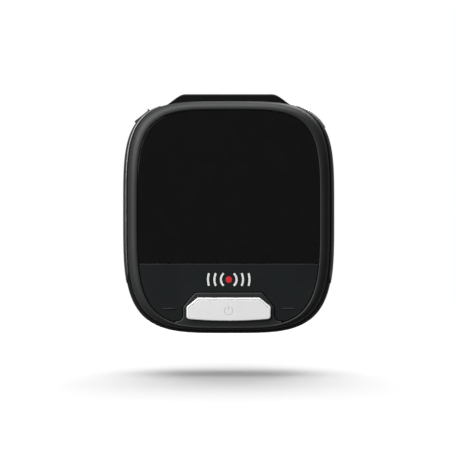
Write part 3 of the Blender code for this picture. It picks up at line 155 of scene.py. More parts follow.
# ---- Panels in the opening ----
LENS_LOW, LENS_HIGH = local_box("display_lens")
LENS_GAP = 0.08 * MM
PANEL_ROUNDING = 0.14 * MM
PANEL_BACK_Y = -12.6 * MM
ROCKER_LOW, ROCKER_HIGH = local_box("rocker_panel")
ROCKER_GAP = 0.2 * MM
ROCKER_POST = mm(16.2, -25.2)
ROCKER_POST_RADIUS = 1.1 * MM
ROCKER_POST_END_Y = -10.27 * MM
ROCKER_POST_HOLE = 2.0 * MM
EYE_HALF = 1.5 * MM
EYE_Z = mm(-20.2, -16.8)
EYE_BORE_RADIUS = 0.68 * MM
EYE_SLOT_HALF = 2.0 * MM
EYE_SLOT_Z = mm(-20.6, -16.4)
PIVOT_Y = -11.0 * MM
PIVOT_BORE_Z = mm(-22.3, -14.6)
PIVOT_BORE_RADIUS = 0.64 * MM
TACTILE_BAR = mm(16.75, -26.9)
TACTILE_BAR_HALF = mm(1.6, 0.19)
TACTILE_BAR_ROUNDING = 0.12 * MM
MARK_Z = -18.7 * MM
MARK_RISE = 0.03 * MM
MARK_DOT_RADIUS = 0.9 * MM
WAVE_RADII = mm(2.2, 4.0, 5.8)
WAVE_HALF_HEIGHT = 1.75 * MM
WAVE_WIDEST = math.radians(50)
WAVE_STROKE = 0.55 * MM

# ---- Island and power button ----
ISLAND_FRONT_Y = -13.9 * MM
ISLAND_TOP_Z = -22.4 * MM
ISLAND_TOP_HALF = 9.4 * MM
ISLAND_HALF = 12.75 * MM
ISLAND_SHOULDER_Z = -26.4 * MM
ISLAND_ROOT_Z = -28.7 * MM
ISLAND_CORNER_RADII = mm(1.0, 1.2)
ISLAND_ROOT_RADIUS = 1.7 * MM
ISLAND_TOE = 0.3 * MM
ISLAND_UNDER_CREST = 0.6 * MM
ISLAND_ROUNDING = 0.3 * MM
ISLAND_CLEARANCE = 0.2 * MM
BUTTON_LOW, BUTTON_HIGH = local_box("power_button")
BUTTON_TOP_Z = -23.8 * MM
BUTTON_TOP_HALF = 8.65 * MM
BUTTON_HALF = 11.75 * MM
BUTTON_SHOULDER_Z = -26.3 * MM
BUTTON_CORNER_Z = -29.75 * MM
BUTTON_BELLY = 0.55 * MM
BUTTON_CORNER_RADII = mm(0.9, 0.7, 0.8)
BUTTON_CLEARANCE = 0.22 * MM
BUTTON_FLANGE = 0.85 * MM
BUTTON_FLANGE_LOW_Z = -29.2 * MM
BUTTON_FLANGE_Y = -10.85 * MM
BUTTON_ROUNDING = 0.32 * MM
BUTTON_GROOVE_INSET = 0.62 * MM
BUTTON_GROOVE_RADIUS = 0.14 * MM
BUTTON_GROOVE_EASE = 0.5 * MM
BUTTON_GROOVE_LOW_Z = -27.2 * MM
POWER_SYMBOL_Z = -27.4 * MM
POWER_SYMBOL_RADIUS = 1.15 * MM
POWER_SYMBOL_STROKE = 0.22 * MM
POWER_RING_ANGLES = (math.radians(125), math.radians(415))
POWER_BAR_RISE = 0.8 * MM
POWER_BAR_HALF = 0.7 * MM

# ---- Trims and corner keys ----
TRIM_ANGLES = (math.radians(57.5), math.radians(-34.6))
TRIM_Y = mm(-9.7, -6.5)
TRIM_PROUD = 0.2 * MM
TRIM_DEPTH = 0.7 * MM
TRIM_GAP = 0.1 * MM
TRIM_TIP_ANGLE = math.radians(3.0)
TRIM_TIP_SHARE = 0.6
BAND_ROUNDING = 0.18 * MM
KEY_Y = -4.0 * MM
KEY_HALF_DEPTH = 1.6 * MM
KEY_GAP = 0.2 * MM
LEFT_KEY_ANGLE = math.radians(131.8)
LEFT_KEY_SLOPE = math.radians(128.5)
LEFT_KEY_HALF = 2.7 * MM
LEFT_KEY_PROUD = 0.35 * MM
LEFT_KEY_FLANGE = mm(-3.5, -2.85)
LEFT_KEY_ROUNDING = 0.15 * MM
RIDGE = (mm(2.3, -1.5, 0.0), mm(2.65, 1.5, 0.7))
RIDGE_ROUNDING = 0.1 * MM
RIGHT_KEY_ANGLES = (math.radians(41.5), math.radians(53.9))
RIGHT_KEY_SLOPE = math.radians(50.6)
RIGHT_KEY_PROUD = 0.45 * MM
RIGHT_KEY_HALF = 3.9 * MM
RIGHT_KEY_FLANGE = mm(-4.2, -3.5)
RIGHT_KEY_INNER = -3.1 * MM
RIGHT_KEY_ROUNDING = 0.3 * MM
KEY_FLANGE_MARGIN = 0.65 * MM
KEY_FLANGE_DEPTH = 0.3 * MM

# ---- Hump, slots and rear openings ----
HUMP_Y = mm(-9.4, 10.6)
HUMP_FLAT_HALF = 12.2 * MM
HUMP_FOOT = 18.2 * MM
HUMP_MARGIN = 0.4 * MM
HUMP_SINK = 0.15 * MM
HUMP_ROOT = 0.75 * MM
HUMP_ROUNDING = 0.5 * MM
RAIL_HALF = 10.4 * MM
RAIL_GROOVE_Z = mm(31.7, 32.6)
RAIL_START_Y = -4.5 * MM
RAIL_ROUNDING = 0.12 * MM
DETENT_HALF = 2.5 * MM
DETENT_Y = mm(5.0, 6.6)
DETENT_DEPTH = 0.6 * MM
DETENT_ROUNDING = 0.3 * MM
SLOT_PITCH = 2.83 * MM
SLOT_COUNT = 16
SLOT_HALF = 0.6 * MM
SLOT_ROUNDING = 0.4 * MM
SLOT_Y = mm(-8.2, -4.2)
SLOT_Z = mm(-36.0, -29.0)
HORN_Z = 11.0 * MM
RADAR_WINDOW = mm(14.0, 9.5)
RADAR_OPENING = mm(11.5, 7.0)
RADAR_CORNER = 2.0 * MM
RADAR_ROUNDINGS = mm(0.1, 0.35)
RADAR_SEAT_GAP = 0.12 * MM
RADAR_SEAT_FLARE = 0.3 * MM
LASER_RIM_RADIUS = 5.4 * MM
LASER_LENS_RADIUS = 4.4 * MM
LASER_SEAT_Y = 15.2 * MM
LASER_SEAT_GAP = 0.1 * MM
LASER_SEAT_FLARE = 0.4 * MM
LASER_DOME_RISE = 1.1 * MM
LASER_RIM_RISE = 0.8 * MM
LASER_RIM_ROUNDING = 0.15 * MM
LASER_LENS_BACK = -0.75 * MM
RECESS_RADIUS = 2.2 * MM
RECESS_FLARE = 1.25 * MM
RECESS_FLOOR_Y = -3.0 * MM
TUBE_RADIUS = 3.1 * MM
TUBE_Y = (-5.85 * MM, REAR_Y - 0.8 * MM)
USB_HALF = mm(1.58, 4.47)
USB_ROUNDING = 1.4 * MM
USB_WALL = 0.3 * MM
USB_LIP = 0.12 * MM
USB_FLOOR = 1.2 * MM
USB_TONGUE_ROUNDING = 0.08 * MM
USB_PORT_MARGIN = 0.3 * MM
USB_PORT_FLARE = 0.35 * MM
USB_PORT_X = mm(26.0, 32.0)
USB_PORT_ANGLE = math.radians(-15)
USB_PORT_Y = -4.35 * MM

# ---- Fasteners ----
SCREW_RADIUS = 0.95 * MM
HEAD_RADIUS = 1.8 * MM
HEAD_HEIGHT = 1.3 * MM
HEAD_CROWN = 0.55
SCREW_TIP = 0.6 * MM
SCREW_TIP_SHARE = 0.3
CROSS_HALF = mm(1.1, 0.25)
CROSS_DEPTH = 0.7 * MM
SCREW_LENGTHS = {"case": 7.5 * MM, "board": 4.0 * MM, "horn": 5.8 * MM}

# ---- Patterns on internal parts ----
PATCH_SILVER_HALF = 6.0 * MM
RIBBON_PITCH = 0.5 * MM

# ---- Floor, room and camera ----
FLOOR_DROP = 11.6 * MM
FLOOR_RADIUS = 280 * MM
# Name, place, size, power and receivers of each lamp.
LAMPS = (
    ("floor_back", (0, 0.55, 0.5), (1.3, 0.8), 9.2, "floor_only"),
    ("floor_front", (0, -0.5, 0.5), (1.4, 0.6), 3.5, "floor_only"),
    ("floor_top", (0, 0, 0.7), (0.9, 0.35), 2.5, "floor_only"),
    ("key", (-0.8, -0.5, 0.45), (0.9, 0.9), 19, "not_floor"),
    ("top", (0, -0.25, 0.8), (0.8, 0.5), 9, "not_floor"),
    ("back", (0.35, 0.7, 0.8), (0.6, 0.6), 6, "not_floor"),
)
# Strength of the room's light from the driver's side to the road side, and where it turns.
ROOM_STRENGTH = (0.02, 0.15)
ROOM_TURN = (-0.3, 0.95)
CAMERA_PLACE = (-0.2 * MM, -492 * MM, WAIST - 4.3 * MM)
CAMERA_LENS = 135
CAMERA_SENSOR = 36


# ---- Mesh helpers ----


def linked(name, data):
    obj = bpy.data.objects.new(name, data)
    bpy.context.scene.collection.objects.link(obj)
    return obj


def add_object(mesh, matrix=None):
    """Object placed relative to the waist; it gets its name when it's shown."""
    obj = linked("shape", mesh)
    obj.matrix_basis = TO_WAIST @ (matrix or Matrix.Identity(4))
    return obj


def mesh_from(bm):
    bmesh.ops.recalc_face_normals(bm, faces=bm.faces)
    mesh = bpy.data.meshes.new("shape")
    bm.to_mesh(mesh)
    bm.free()
    return mesh


def evaluated_mesh(obj):
    bpy.context.view_layer.update()
    graph = bpy.context.evaluated_depsgraph_get()
    return bpy.data.meshes.new_from_object(obj.evaluated_get(graph))


def boolean(target, tool, operation):
    """Cuts the tool from the target, or joins it on, and removes the tool."""
    modifier = target.modifiers.new("boolean", "BOOLEAN")
    modifier.operation = operation
    modifier.solver = "EXACT"
    modifier.object = tool
    mesh = evaluated_mesh(target)
    target.modifiers.clear()
    target.data = mesh
    bpy.data.objects.remove(tool, do_unlink=True)


def cut(target, *tools):
    for tool in tools:
        boolean(target, tool, "DIFFERENCE")


def join(target, *tools):
    for tool in tools:
        boolean(target, tool, "UNION")


def weigh_normals(obj):
    """Normals weighted so that flat faces stay flat."""
    weights = obj.modifiers.new("weighted normals", "WEIGHTED_NORMAL")
    weights.keep_sharp = True


def smooth(obj, angle=30):
    """Smooth shading with creases."""
    obj.data.shade_smooth()
    obj.data.set_sharp_from_angle(angle=math.radians(angle))
    weigh_normals(obj)
    return obj


def loft(rings, matrix=None):
    """Closed skin through rings with the same number of points."""
    bm = bmesh.new()
    rows = [[bm.verts.new(point) for point in ring] for ring in rings]
    for near, far in zip(rows, rows[1:]):
        for i in range(len(near)):
            j = (i + 1) % len(near)
            bm.faces.new((near[i], near[j], far[j], far[i]))
    bm.faces.new(rows[0])
    bm.faces.new(rows[-1])
    return add_object(mesh_from(bm), matrix)


def at_depth(outline, y):
    return [Vector((x, y, z)) for x, z in outline]


def quarter_turns(steps):
    """Angles from 0 to a quarter turn."""
    return [math.pi / 2 * i / steps for i in range(steps + 1)]


def quarter(radius, steps=5):
    """(inset, depth) pairs round an edge, from the face to the side."""
    turns = quarter_turns(steps)
    return [(radius * (1 - math.sin(turn)), radius * (1 - math.cos(turn))) for turn in turns]


def slab(outline, front, back, front_radius=0.0, back_radius=0.0, matrix=None):
    """Plate between two depths, with edges rounded where a radius is given."""
    square = [(0.0, 0.0)]
    fronts = quarter(front_radius) if front_radius else square
    backs = quarter(back_radius) if back_radius else square
    rings = [at_depth(grown(outline, -inset), front + depth) for inset, depth in fronts]
    rings += [at_depth(grown(outline, -inset), back - depth) for inset, depth in reversed(backs)]
    return loft(rings, matrix=matrix)


def boxes(corners, radius=0.0, matrix=None):
    """Separate (low, high) boxes in one mesh, with edges rounded by a radius."""
    bm = bmesh.new()
    for low, high in corners:
        size = Vector(high) - Vector(low)
        place = Matrix.Translation((Vector(low) + Vector(high)) / 2) @ Matrix.Diagonal((*size, 1))
        bmesh.ops.create_cube(bm, size=1, matrix=place)
    if radius:
        bmesh.ops.bevel(bm, geom=bm.edges[:], offset=radius, segments=4, profile=0.5, affect="EDGES")
    return add_object(mesh_from(bm), matrix)


def turned(profile, place, steps=64):
    """Solid of revolution about own Z; the (radius, height) profile runs from axis to axis."""
    bm = bmesh.new()
    angles = [math.tau * i / steps for i in range(steps)]
    rows = []
    for radius, height in profile:
        turns = angles if radius else angles[:1]
        rows.append([bm.verts.new((radius * math.cos(a), radius * math.sin(a), height)) for a in turns])
    for upper, lower in zip(rows, rows[1:]):
        for i in range(steps):
            pairs = [(upper, i), (upper, i + 1), (lower, i + 1), (lower, i)]
            corners = [row[k % len(row)] for row, k in pairs]
            bm.faces.new(list(dict.fromkeys(corners)))
    return add_object(mesh_from(bm), place)


def rod(start, end, radius, steps=48):
    start, end = Vector(start), Vector(end)
    axis = end - start
    place = Matrix.Translation(start) @ axis.to_track_quat("Z", "Y").to_matrix().to_4x4()
    return turned([(0, axis.length), (radius, axis.length), (radius, 0), (0, 0)], place, steps)


def tube(path, radius):
    """Round bar along a path at constant depth."""
    depth = Vector((0, 1, 0))
    turns = [math.tau * k / TUBE_SIDES for k in range(TUBE_SIDES)]
    rings = []
    for i, point in enumerate(path):
        along = (path[min(i + 1, len(path) - 1)] - path[max(i - 1, 0)]).normalized()
        across = along.cross(depth)
        rings.append([point + radius * (math.cos(t) * across + math.sin(t) * depth) for t in turns])
    return loft(rings)


def along_road(x, y, z):
    """Place whose own +Z points to the road."""
    return Matrix.Translation((x, y, z)) @ Matrix.Rotation(-math.pi / 2, 4, "X")


def mirrored(obj):
    """Flips a shape to the other side of the body."""
    obj.data.transform(Matrix.Diagonal((-1, 1, 1, 1)))
    obj.data.flip_normals()
    return obj


# ---- Outlines, as (x, z) from the waist ----


def outline_point(angle, size, y, grow=0.0):
    half_width, top, bottom = size
    across, up = math.cos(angle), math.sin(angle)
    height, power = (top, TOP_POWER) if up >= 0 else (bottom, BOTTOM_POWER)
    share = abs(across / (half_width + grow)) ** power + abs(up / (height + grow)) ** power
    radius = share ** (-1 / power)
    return Vector((radius * across, y, radius * up))


def outline_ring(size, y, grow=0.0):
    return [outline_point(math.tau * i / OUTLINE_POINTS, size, y, grow) for i in range(OUTLINE_POINTS)]


def outline_edge(x, size, upper, grow=0.0):
    """Height of the outline's upper or lower edge at x."""
    half_width, top, bottom = size
    height, power, sign = (top, TOP_POWER, 1) if upper else (bottom, BOTTOM_POWER, -1)
    return sign * (height + grow) * (1 - abs(x / (half_width + grow)) ** power) ** (1 / power)


def station_slope(index, k):
    """Slope of inset k at a station, levelled off where the inset turns."""
    near = HOUSING_STATIONS[max(index - 1, 0) : index + 2]
    slopes = [(end[k] - start[k]) / (end[0] - start[0]) for start, end in zip(near, near[1:])]
    if slopes[0] * slopes[-1] <= 0:
        return 0.0
    return 2 * slopes[0] * slopes[-1] / (slopes[0] + slopes[-1])


def housing_size(y):
    """Half width, top and bottom of the housing at a depth, on a curve through the stations."""
    stations = HOUSING_STATIONS
    index = max([i for i in range(len(stations) - 1) if stations[i][0] <= y], default=0)
    start, end = stations[index], stations[index + 1]
    span = end[0] - start[0]
    s = (y - start[0]) / span
    insets = []
    for k in (1, 2, 3):
        value = (2 * s**3 - 3 * s**2 + 1) * start[k] + (3 * s**2 - 2 * s**3) * end[k]
        value += (s**3 - 2 * s**2 + s) * span * station_slope(index, k)
        value += (s**3 - s**2) * span * station_slope(index + 1, k)
        insets.append(value)
    return HALF_WIDTH - insets[0], TOP - insets[1], BOTTOM - insets[2]


def housing_depths():
    depths = []
    for (start, *_), (end, *_) in zip(HOUSING_STATIONS, HOUSING_STATIONS[1:]):
        depths += [start + (end - start) * i / STATION_STEPS for i in range(STATION_STEPS)]
    return [*depths, HOUSING_STATIONS[-1][0]]


def flat(ring):
    return [(point.x, point.z) for point in ring]


def clip(points, level, keep_above):
    """The part of a closed outline above or below a level."""
    sign = 1 if keep_above else -1
    kept = []
    for (x0, z0), (x1, z1) in zip(points, points[1:] + points[:1]):
        inside0, inside1 = sign * (z0 - level) >= 0, sign * (z1 - level) >= 0
        if inside0:
            kept.append((x0, z0))
        if inside0 != inside1:
            share = (level - z0) / (z1 - z0)
            kept.append((x0 + (x1 - x0) * share, level))
    return kept


def rounded(corners):
    """Closed outline with an arc at each corner; a corner is (x, z, radius)."""
    points = []
    for i, (x, z, radius) in enumerate(corners):
        here = Vector((x, z))
        if radius == 0:
            points.append((x, z))
            continue
        before = (Vector(corners[i - 1][:2]) - here).normalized()
        after = (Vector(corners[(i + 1) % len(corners)][:2]) - here).normalized()
        half_angle = before.angle(after) / 2
        centre = here + (before + after).normalized() * (radius / math.sin(half_angle))
        start = here + before * (radius / math.tan(half_angle)) - centre
        end = here + after * (radius / math.tan(half_angle)) - centre
        sweep = start.angle_signed(end)
        for step in range(CORNER_STEPS + 1):
            spun = start.copy()
            spun.rotate(Matrix.Rotation(-sweep * step / CORNER_STEPS, 2))
            points.append(tuple(centre + spun))
    return points


def rounded_rectangle(centre, half, radius):
    """Counter-clockwise rectangle with rounded corners."""
    corners = [(half[0], -half[1]), (half[0], half[1]), (-half[0], half[1]), (-half[0], -half[1])]
    return rounded([(centre[0] + dx, centre[1] + dz, radius) for dx, dz in corners])


def grown(points, distance):
    """Counter-clockwise outline moved outwards along its corner bisectors."""
    if distance == 0:
        return list(points)
    moved = []
    for i, point in enumerate(points):
        here = Vector(point)
        before = (here - Vector(points[i - 1])).normalized()
        after = (Vector(points[(i + 1) % len(points)]) - here).normalized()
        normal_before = Vector((before.y, -before.x))
        normal_after = Vector((after.y, -after.x))
        bisector = (normal_before + normal_after).normalized()
        moved.append(tuple(here + bisector * (distance / bisector.dot(normal_after))))
    return moved


def button_outline(grow=0.0, ease=0.0):
    """Button with chamfered shoulders, rounder by ease, and a slightly bellied lower edge."""
    foot, shoulder, top = BUTTON_CORNER_RADII
    right = [
        (BUTTON_HALF, BUTTON_CORNER_Z, foot),
        (BUTTON_HALF, BUTTON_SHOULDER_Z, shoulder + ease),
        (BUTTON_TOP_HALF, BUTTON_TOP_Z, top + ease),
    ]
    corners = right + [(-x, z, radius) for x, z, radius in reversed(right)]
    for i in range(-4, 5):
        share = i / 5
        corners.append((BUTTON_HALF * share, BUTTON_CORNER_Z - BUTTON_BELLY * (1 - share * share), 0.0))
    return grown(rounded(corners), grow)


def island_flank(grow=0.0):
    """Right side of the island, from the middle of its top to the end of its flared root."""
    corners = [
        (0.0, ISLAND_TOP_Z, 0.0),
        (ISLAND_TOP_HALF, ISLAND_TOP_Z, ISLAND_CORNER_RADII[0]),
        (ISLAND_HALF, ISLAND_SHOULDER_Z, ISLAND_CORNER_RADII[1]),
        (ISLAND_HALF, ISLAND_ROOT_Z, 0.0),
    ]
    path = rounded(corners)
    for turn in quarter_turns(10)[1:]:
        x = ISLAND_HALF + ISLAND_ROOT_RADIUS * (1 - math.cos(turn))
        path.append((x, ISLAND_ROOT_Z - ISLAND_ROOT_RADIUS * math.sin(turn)))
    path.append((path[-1][0] + ISLAND_TOE, path[-1][1]))
    moved = []
    for i, point in enumerate(path):
        before = Vector(point) - Vector(path[max(i - 1, 0)])
        after = Vector(path[min(i + 1, len(path) - 1)]) - Vector(point)
        along = (before.normalized() + after.normalized()).normalized()
        moved.append(tuple(Vector(point) + Vector((-along.y, along.x)) * grow))
    return moved


def island_outline():
    """Land round the power button, closed just inside the bezel's crest."""
    right = island_flank()
    foot = right[-1][0] + 0.5 * MM
    lower_x = [foot * (1 - i / 8) for i in range(17)]
    lower = [(x, outline_edge(x, OPENING, False, ISLAND_UNDER_CREST)) for x in lower_x]
    left = [(-x, z) for x, z in reversed(right[1:])]
    return list(reversed(right + lower + left))


def rocker_outline():
    """Lower panel: two wings that reach down either side of the island."""
    outer = clip(flat(outline_ring(OPENING, 0, -ROCKER_GAP)), ROCKER_HIGH.z, False)
    flank = island_flank(ISLAND_CLEARANCE)
    reach = flank[-1][0] + OVERLAP
    left_side = [(x, z) for x, z in outer if x < -reach]
    right_side = [(x, z) for x, z in outer if x > reach]
    notch = [(-x, z) for x, z in reversed(flank[1:])] + flank
    return left_side + notch + right_side


# ---- Front pieces ----


def bezel_rings():
    """Bezel from the floor behind the lens, over the rounded crest, to the skirt's inside."""
    rings = [outline_ring(OPENING, FLOOR_Y[0])]
    for depth, grow in quarter(LIP_RADIUS):
        rings.append(outline_ring(OPENING, CREST_Y + depth, grow))
    lip = [value + LIP_RADIUS for value in OPENING]
    for turn in quarter_turns(FACE_STEPS)[1:]:
        share, drop = math.sin(turn), 1 - math.cos(turn)
        size = [start + (end - start) * share for start, end in zip(lip, BEZEL_EDGE)]
        rings.append(outline_ring(size, CREST_Y + (EDGE_Y - EDGE_RADIUS - CREST_Y) * drop))
    for inset, depth in reversed(quarter(EDGE_RADIUS, 4)[:-1]):
        rings.append(outline_ring(BEZEL_EDGE, EDGE_Y - depth, -inset))
    outside, inside = SKIRT_OUTER, [value - SKIRT_WALL for value in SKIRT_OUTER]
    skirt = ((outside, EDGE_Y), (outside, SKIRT_END_Y), (inside, SKIRT_END_Y), (inside, FLOOR_Y[1]))
    return rings + [outline_ring(size, y) for size, y in skirt]


def screw_nodes(kind):
    return [node for node in sorted(NODES) if node.startswith(f"{kind}_screw")]


def screw_places(kind):
    """(x, z) of every screw of a kind, from its CAD node."""
    return [tuple(centre_of(node)[::2]) for node in screw_nodes(kind)]


def make_bezel():
    bezel = loft(bezel_rings())
    join(bezel, slab(island_outline(), ISLAND_FRONT_Y, FLOOR_Y[0] + OVERLAP, ISLAND_ROUNDING))
    places = screw_places("case") + screw_places("board")
    for x, z in places:
        join(bezel, rod((x, BOSS_START_Y, z), (x, BOSS_END_Y, z), BOSS_RADIUS, 32))
    lugs = [((-LUG_HALF, FLOOR_Y[1] - OVERLAP, low), (LUG_HALF, LUG_END_Y, high)) for low, high in LUGS_Z]
    join(bezel, boxes(lugs))
    cut(bezel, slab(button_outline(BUTTON_CLEARANCE), CREST_Y - MM, SKIRT_END_Y + MM))
    openings = [
        ((-WINDOW_HALF, CREST_Y, WINDOW_Z[0]), (WINDOW_HALF, FLOOR_Y[1] + MM, WINDOW_Z[1])),
        ((-EYE_SLOT_HALF, CREST_Y, EYE_SLOT_Z[0]), (EYE_SLOT_HALF, FLOOR_Y[1] + 2 * MM, EYE_SLOT_Z[1])),
    ]
    cut(bezel, boxes(openings))
    start, end = ((0, PIVOT_Y, z) for z in PIVOT_BORE_Z)
    cut(bezel, rod(start, end, PIVOT_BORE_RADIUS))
    for x in (-ROCKER_POST[0], ROCKER_POST[0]):
        start, end = (x, CREST_Y, ROCKER_POST[1]), (x, SKIRT_END_Y + MM, ROCKER_POST[1])
        cut(bezel, rod(start, end, ROCKER_POST_HOLE))
    for x, z in places:
        cut(bezel, rod((x, PILOT_START_Y, z), (x, BOSS_END_Y + MM, z), PILOT_RADIUS, 36))
    show_for(smooth(bezel), "bezel_shell", "front_bezel")


def make_lens():
    outline = clip(flat(outline_ring(OPENING, 0, -LENS_GAP)), LENS_LOW.z, True)
    lens = slab(outline, LENS_LOW.y, LENS_HIGH.y, PANEL_ROUNDING)
    show_for(smooth(lens, 50), "lens_pane", "display_lens")


def make_rocker():
    front_y = LENS_LOW.y
    rocker = slab(rocker_outline(), front_y, PANEL_BACK_Y, PANEL_ROUNDING)
    (post_x, post_z), (bar_x, bar_z), (bar_half, bar_rise) = ROCKER_POST, TACTILE_BAR, TACTILE_BAR_HALF
    for side in (-1, 1):
        start = (side * post_x, PANEL_BACK_Y - OVERLAP, post_z)
        join(rocker, rod(start, (side * post_x, ROCKER_POST_END_Y, post_z), ROCKER_POST_RADIUS))
        low = (side * bar_x - bar_half, ROCKER_LOW.y, bar_z - bar_rise)
        high = (side * bar_x + bar_half, front_y + MM, bar_z + bar_rise)
        join(rocker, boxes([(low, high)], TACTILE_BAR_ROUNDING))
    eye = ((-EYE_HALF, PANEL_BACK_Y - OVERLAP, EYE_Z[0]), (EYE_HALF, ROCKER_HIGH.y, EYE_Z[1]))
    join(rocker, boxes([eye]))
    start, end = (0, PIVOT_Y, EYE_Z[0] - MM), (0, PIVOT_Y, EYE_Z[1] + MM)
    cut(rocker, rod(start, end, EYE_BORE_RADIUS))
    show_for(smooth(rocker, 50), "rocker_plate", "rocker_panel")


def arc_band(centre, radius, stroke, start, end, steps=24):
    """Outline of a curved stroke between two angles, counter-clockwise."""
    angles = [start + (end - start) * i / steps for i in range(steps + 1)]
    outer = [(radius + stroke / 2, angle) for angle in angles]
    inner = [(radius - stroke / 2, angle) for angle in reversed(angles)]
    return [(centre[0] + r * math.cos(a), centre[1] + r * math.sin(a)) for r, a in outer + inner]


def make_signal_mark():
    """Generic signal pictogram printed on the rocker: a dot with waves to both sides."""
    depths = (LENS_LOW.y - MARK_RISE, LENS_LOW.y + MARK_RISE)
    centre = (0, MARK_Z)
    disc = arc_band(centre, MARK_DOT_RADIUS / 2, MARK_DOT_RADIUS, 0, math.tau * 0.999, 32)
    show_for(slab(disc, *depths), "signal_dot", "rocker_panel", "red_ink")
    for k, radius in enumerate(WAVE_RADII, 1):
        spread = min(math.asin(WAVE_HALF_HEIGHT / radius), WAVE_WIDEST)
        for name, middle in (("right", 0.0), ("left", math.pi)):
            outline = arc_band(centre, radius, WAVE_STROKE, middle - spread, middle + spread)
            show_for(slab(outline, *depths), f"signal_wave_{name}_{k}", "rocker_panel", "white_ink")


def make_button():
    front_y, back_y = BUTTON_LOW.y, BUTTON_HIGH.y
    cap = slab(button_outline(), front_y, back_y, BUTTON_ROUNDING)
    flange_outline = clip(button_outline(BUTTON_FLANGE), BUTTON_FLANGE_LOW_Z, True)
    join(cap, slab(flange_outline, BUTTON_FLANGE_Y, back_y - HAIRLINE))
    inset = button_outline(-BUTTON_GROOVE_INSET, BUTTON_GROOVE_EASE)
    upper = [(x, z) for x, z in inset if z > BUTTON_GROOVE_LOW_Z]
    cut(cap, tube(at_depth(upper, front_y), BUTTON_GROOVE_RADIUS))
    for name, outline in power_symbol().items():
        cut(cap, slab(outline, front_y - MM, front_y + 2 * MARK_RISE))
        inlay = slab(outline, front_y + 0.5 * MARK_RISE, front_y + 4 * MARK_RISE)
        show_for(inlay, name, "power_button", "grey_ink")
    show_for(smooth(cap, 40), "button_cap", "power_button")


def power_symbol():
    """Outlines of the symbol's open ring and of its stroke."""
    stroke = POWER_SYMBOL_STROKE
    ring = arc_band((0, POWER_SYMBOL_Z), POWER_SYMBOL_RADIUS, stroke, *POWER_RING_ANGLES, 40)
    bar_centre = (0, POWER_SYMBOL_Z + POWER_BAR_RISE)
    bar = rounded_rectangle(bar_centre, (stroke / 2, POWER_BAR_HALF), stroke / 2.2)
    return {"power_symbol_ring": ring, "power_symbol_bar": bar}


# ---- Bands that follow the shoulder ----


def shoulder_frame(angle, slope, y):
    """Place on the housing's shoulder: own +Z outwards at the slope angle, own +Y to the road."""
    origin = outline_point(angle, housing_size(y), y)
    outward = Vector((math.cos(slope), 0, math.sin(slope)))
    depth = Vector((0, 1, 0))
    turn = Matrix((depth.cross(outward), depth, outward)).transposed().to_4x4()
    return Matrix.Translation(origin) @ turn


def shoulder_band(angles, depths, outer, inner, rounding=0.0):
    """Curved bar that follows the housing, with one section per angle."""
    edge = quarter(rounding, 4)
    rings = []
    for angle, (front, back) in zip(angles, depths):
        points = [(front, outer), (back, outer), (back, inner), (front, inner)]
        if rounding:
            points = [(front + inset, outer - depth) for depth, inset in edge]
            points += [(front + (back - front) * i / 6, outer) for i in range(1, 6)]
            points += [(back - inset, outer - depth) for depth, inset in reversed(edge)]
            points += [(back + (front - back) * i / 4, inner) for i in range(5)]
        rings.append([outline_point(angle, housing_size(y), y, offset) for y, offset in points])
    return loft(rings)


def trim_depths(angles, margin=0.0):
    """Front and back of the strip at each angle; its lower tip narrows towards the back."""
    front, back = TRIM_Y[0] - margin, TRIM_Y[1] + margin
    depths = []
    for angle in angles:
        share = max(0.0, 1 - (angle - angles[-1]) / TRIM_TIP_ANGLE)
        depths.append((front + (back - front) * TRIM_TIP_SHARE * share, back))
    return depths


def trim_band(outer, inner, margin=0.0, spread=0.0, rounding=0.0):
    start, end = TRIM_ANGLES[0] + spread, TRIM_ANGLES[1] - spread
    angles = [start + (end - start) * i / TRIM_STEPS for i in range(TRIM_STEPS + 1)]
    return shoulder_band(angles, trim_depths(angles, margin), outer, inner, rounding)


def key_band(margin, outer, inner, spread=0.0, rounding=0.0):
    low, high = RIGHT_KEY_ANGLES[0] - spread, RIGHT_KEY_ANGLES[1] + spread
    angles = [low + (high - low) * i / 24 for i in range(25)]
    reach = KEY_HALF_DEPTH + margin
    depths = [(KEY_Y - reach, KEY_Y + reach)] * len(angles)
    return shoulder_band(angles, depths, outer, inner, rounding)


def trim_groove():
    return trim_band(3 * TRIM_PROUD, -TRIM_DEPTH - TRIM_GAP, TRIM_GAP, math.radians(0.3))


def make_trims():
    for side in ("right", "left"):
        strip = trim_band(TRIM_PROUD, -TRIM_DEPTH, rounding=BAND_ROUNDING)
        if side == "left":
            mirrored(strip)
        show_for(smooth(strip, 50), f"trim_{side}", f"{side}_trim_strip")


def key_flange(half_length, span, place):
    reach, depth = half_length + KEY_FLANGE_MARGIN, KEY_HALF_DEPTH + KEY_FLANGE_DEPTH
    return boxes([((-reach, -depth, span[0]), (reach, depth, span[1]))], matrix=place)


def make_corner_keys():
    place = shoulder_frame(LEFT_KEY_ANGLE, LEFT_KEY_SLOPE, KEY_Y)
    low = (-LEFT_KEY_HALF, -KEY_HALF_DEPTH, LEFT_KEY_FLANGE[1] - OVERLAP / 2)
    high = (LEFT_KEY_HALF, KEY_HALF_DEPTH, LEFT_KEY_PROUD)
    left = boxes([(low, high)], LEFT_KEY_ROUNDING, place)
    join(left, key_flange(LEFT_KEY_HALF, LEFT_KEY_FLANGE, place))
    join(left, boxes([RIDGE], RIDGE_ROUNDING, place))
    show_for(smooth(left), "left_key_cap", "left_corner_key")
    place = shoulder_frame(sum(RIGHT_KEY_ANGLES) / 2, RIGHT_KEY_SLOPE, KEY_Y)
    right = key_band(0.0, RIGHT_KEY_PROUD, RIGHT_KEY_INNER, rounding=RIGHT_KEY_ROUNDING)
    join(right, key_flange(RIGHT_KEY_HALF, RIGHT_KEY_FLANGE, place))
    show_for(smooth(right), "right_key_cap", "right_corner_key")


# ---- Rear housing and what sits in it ----


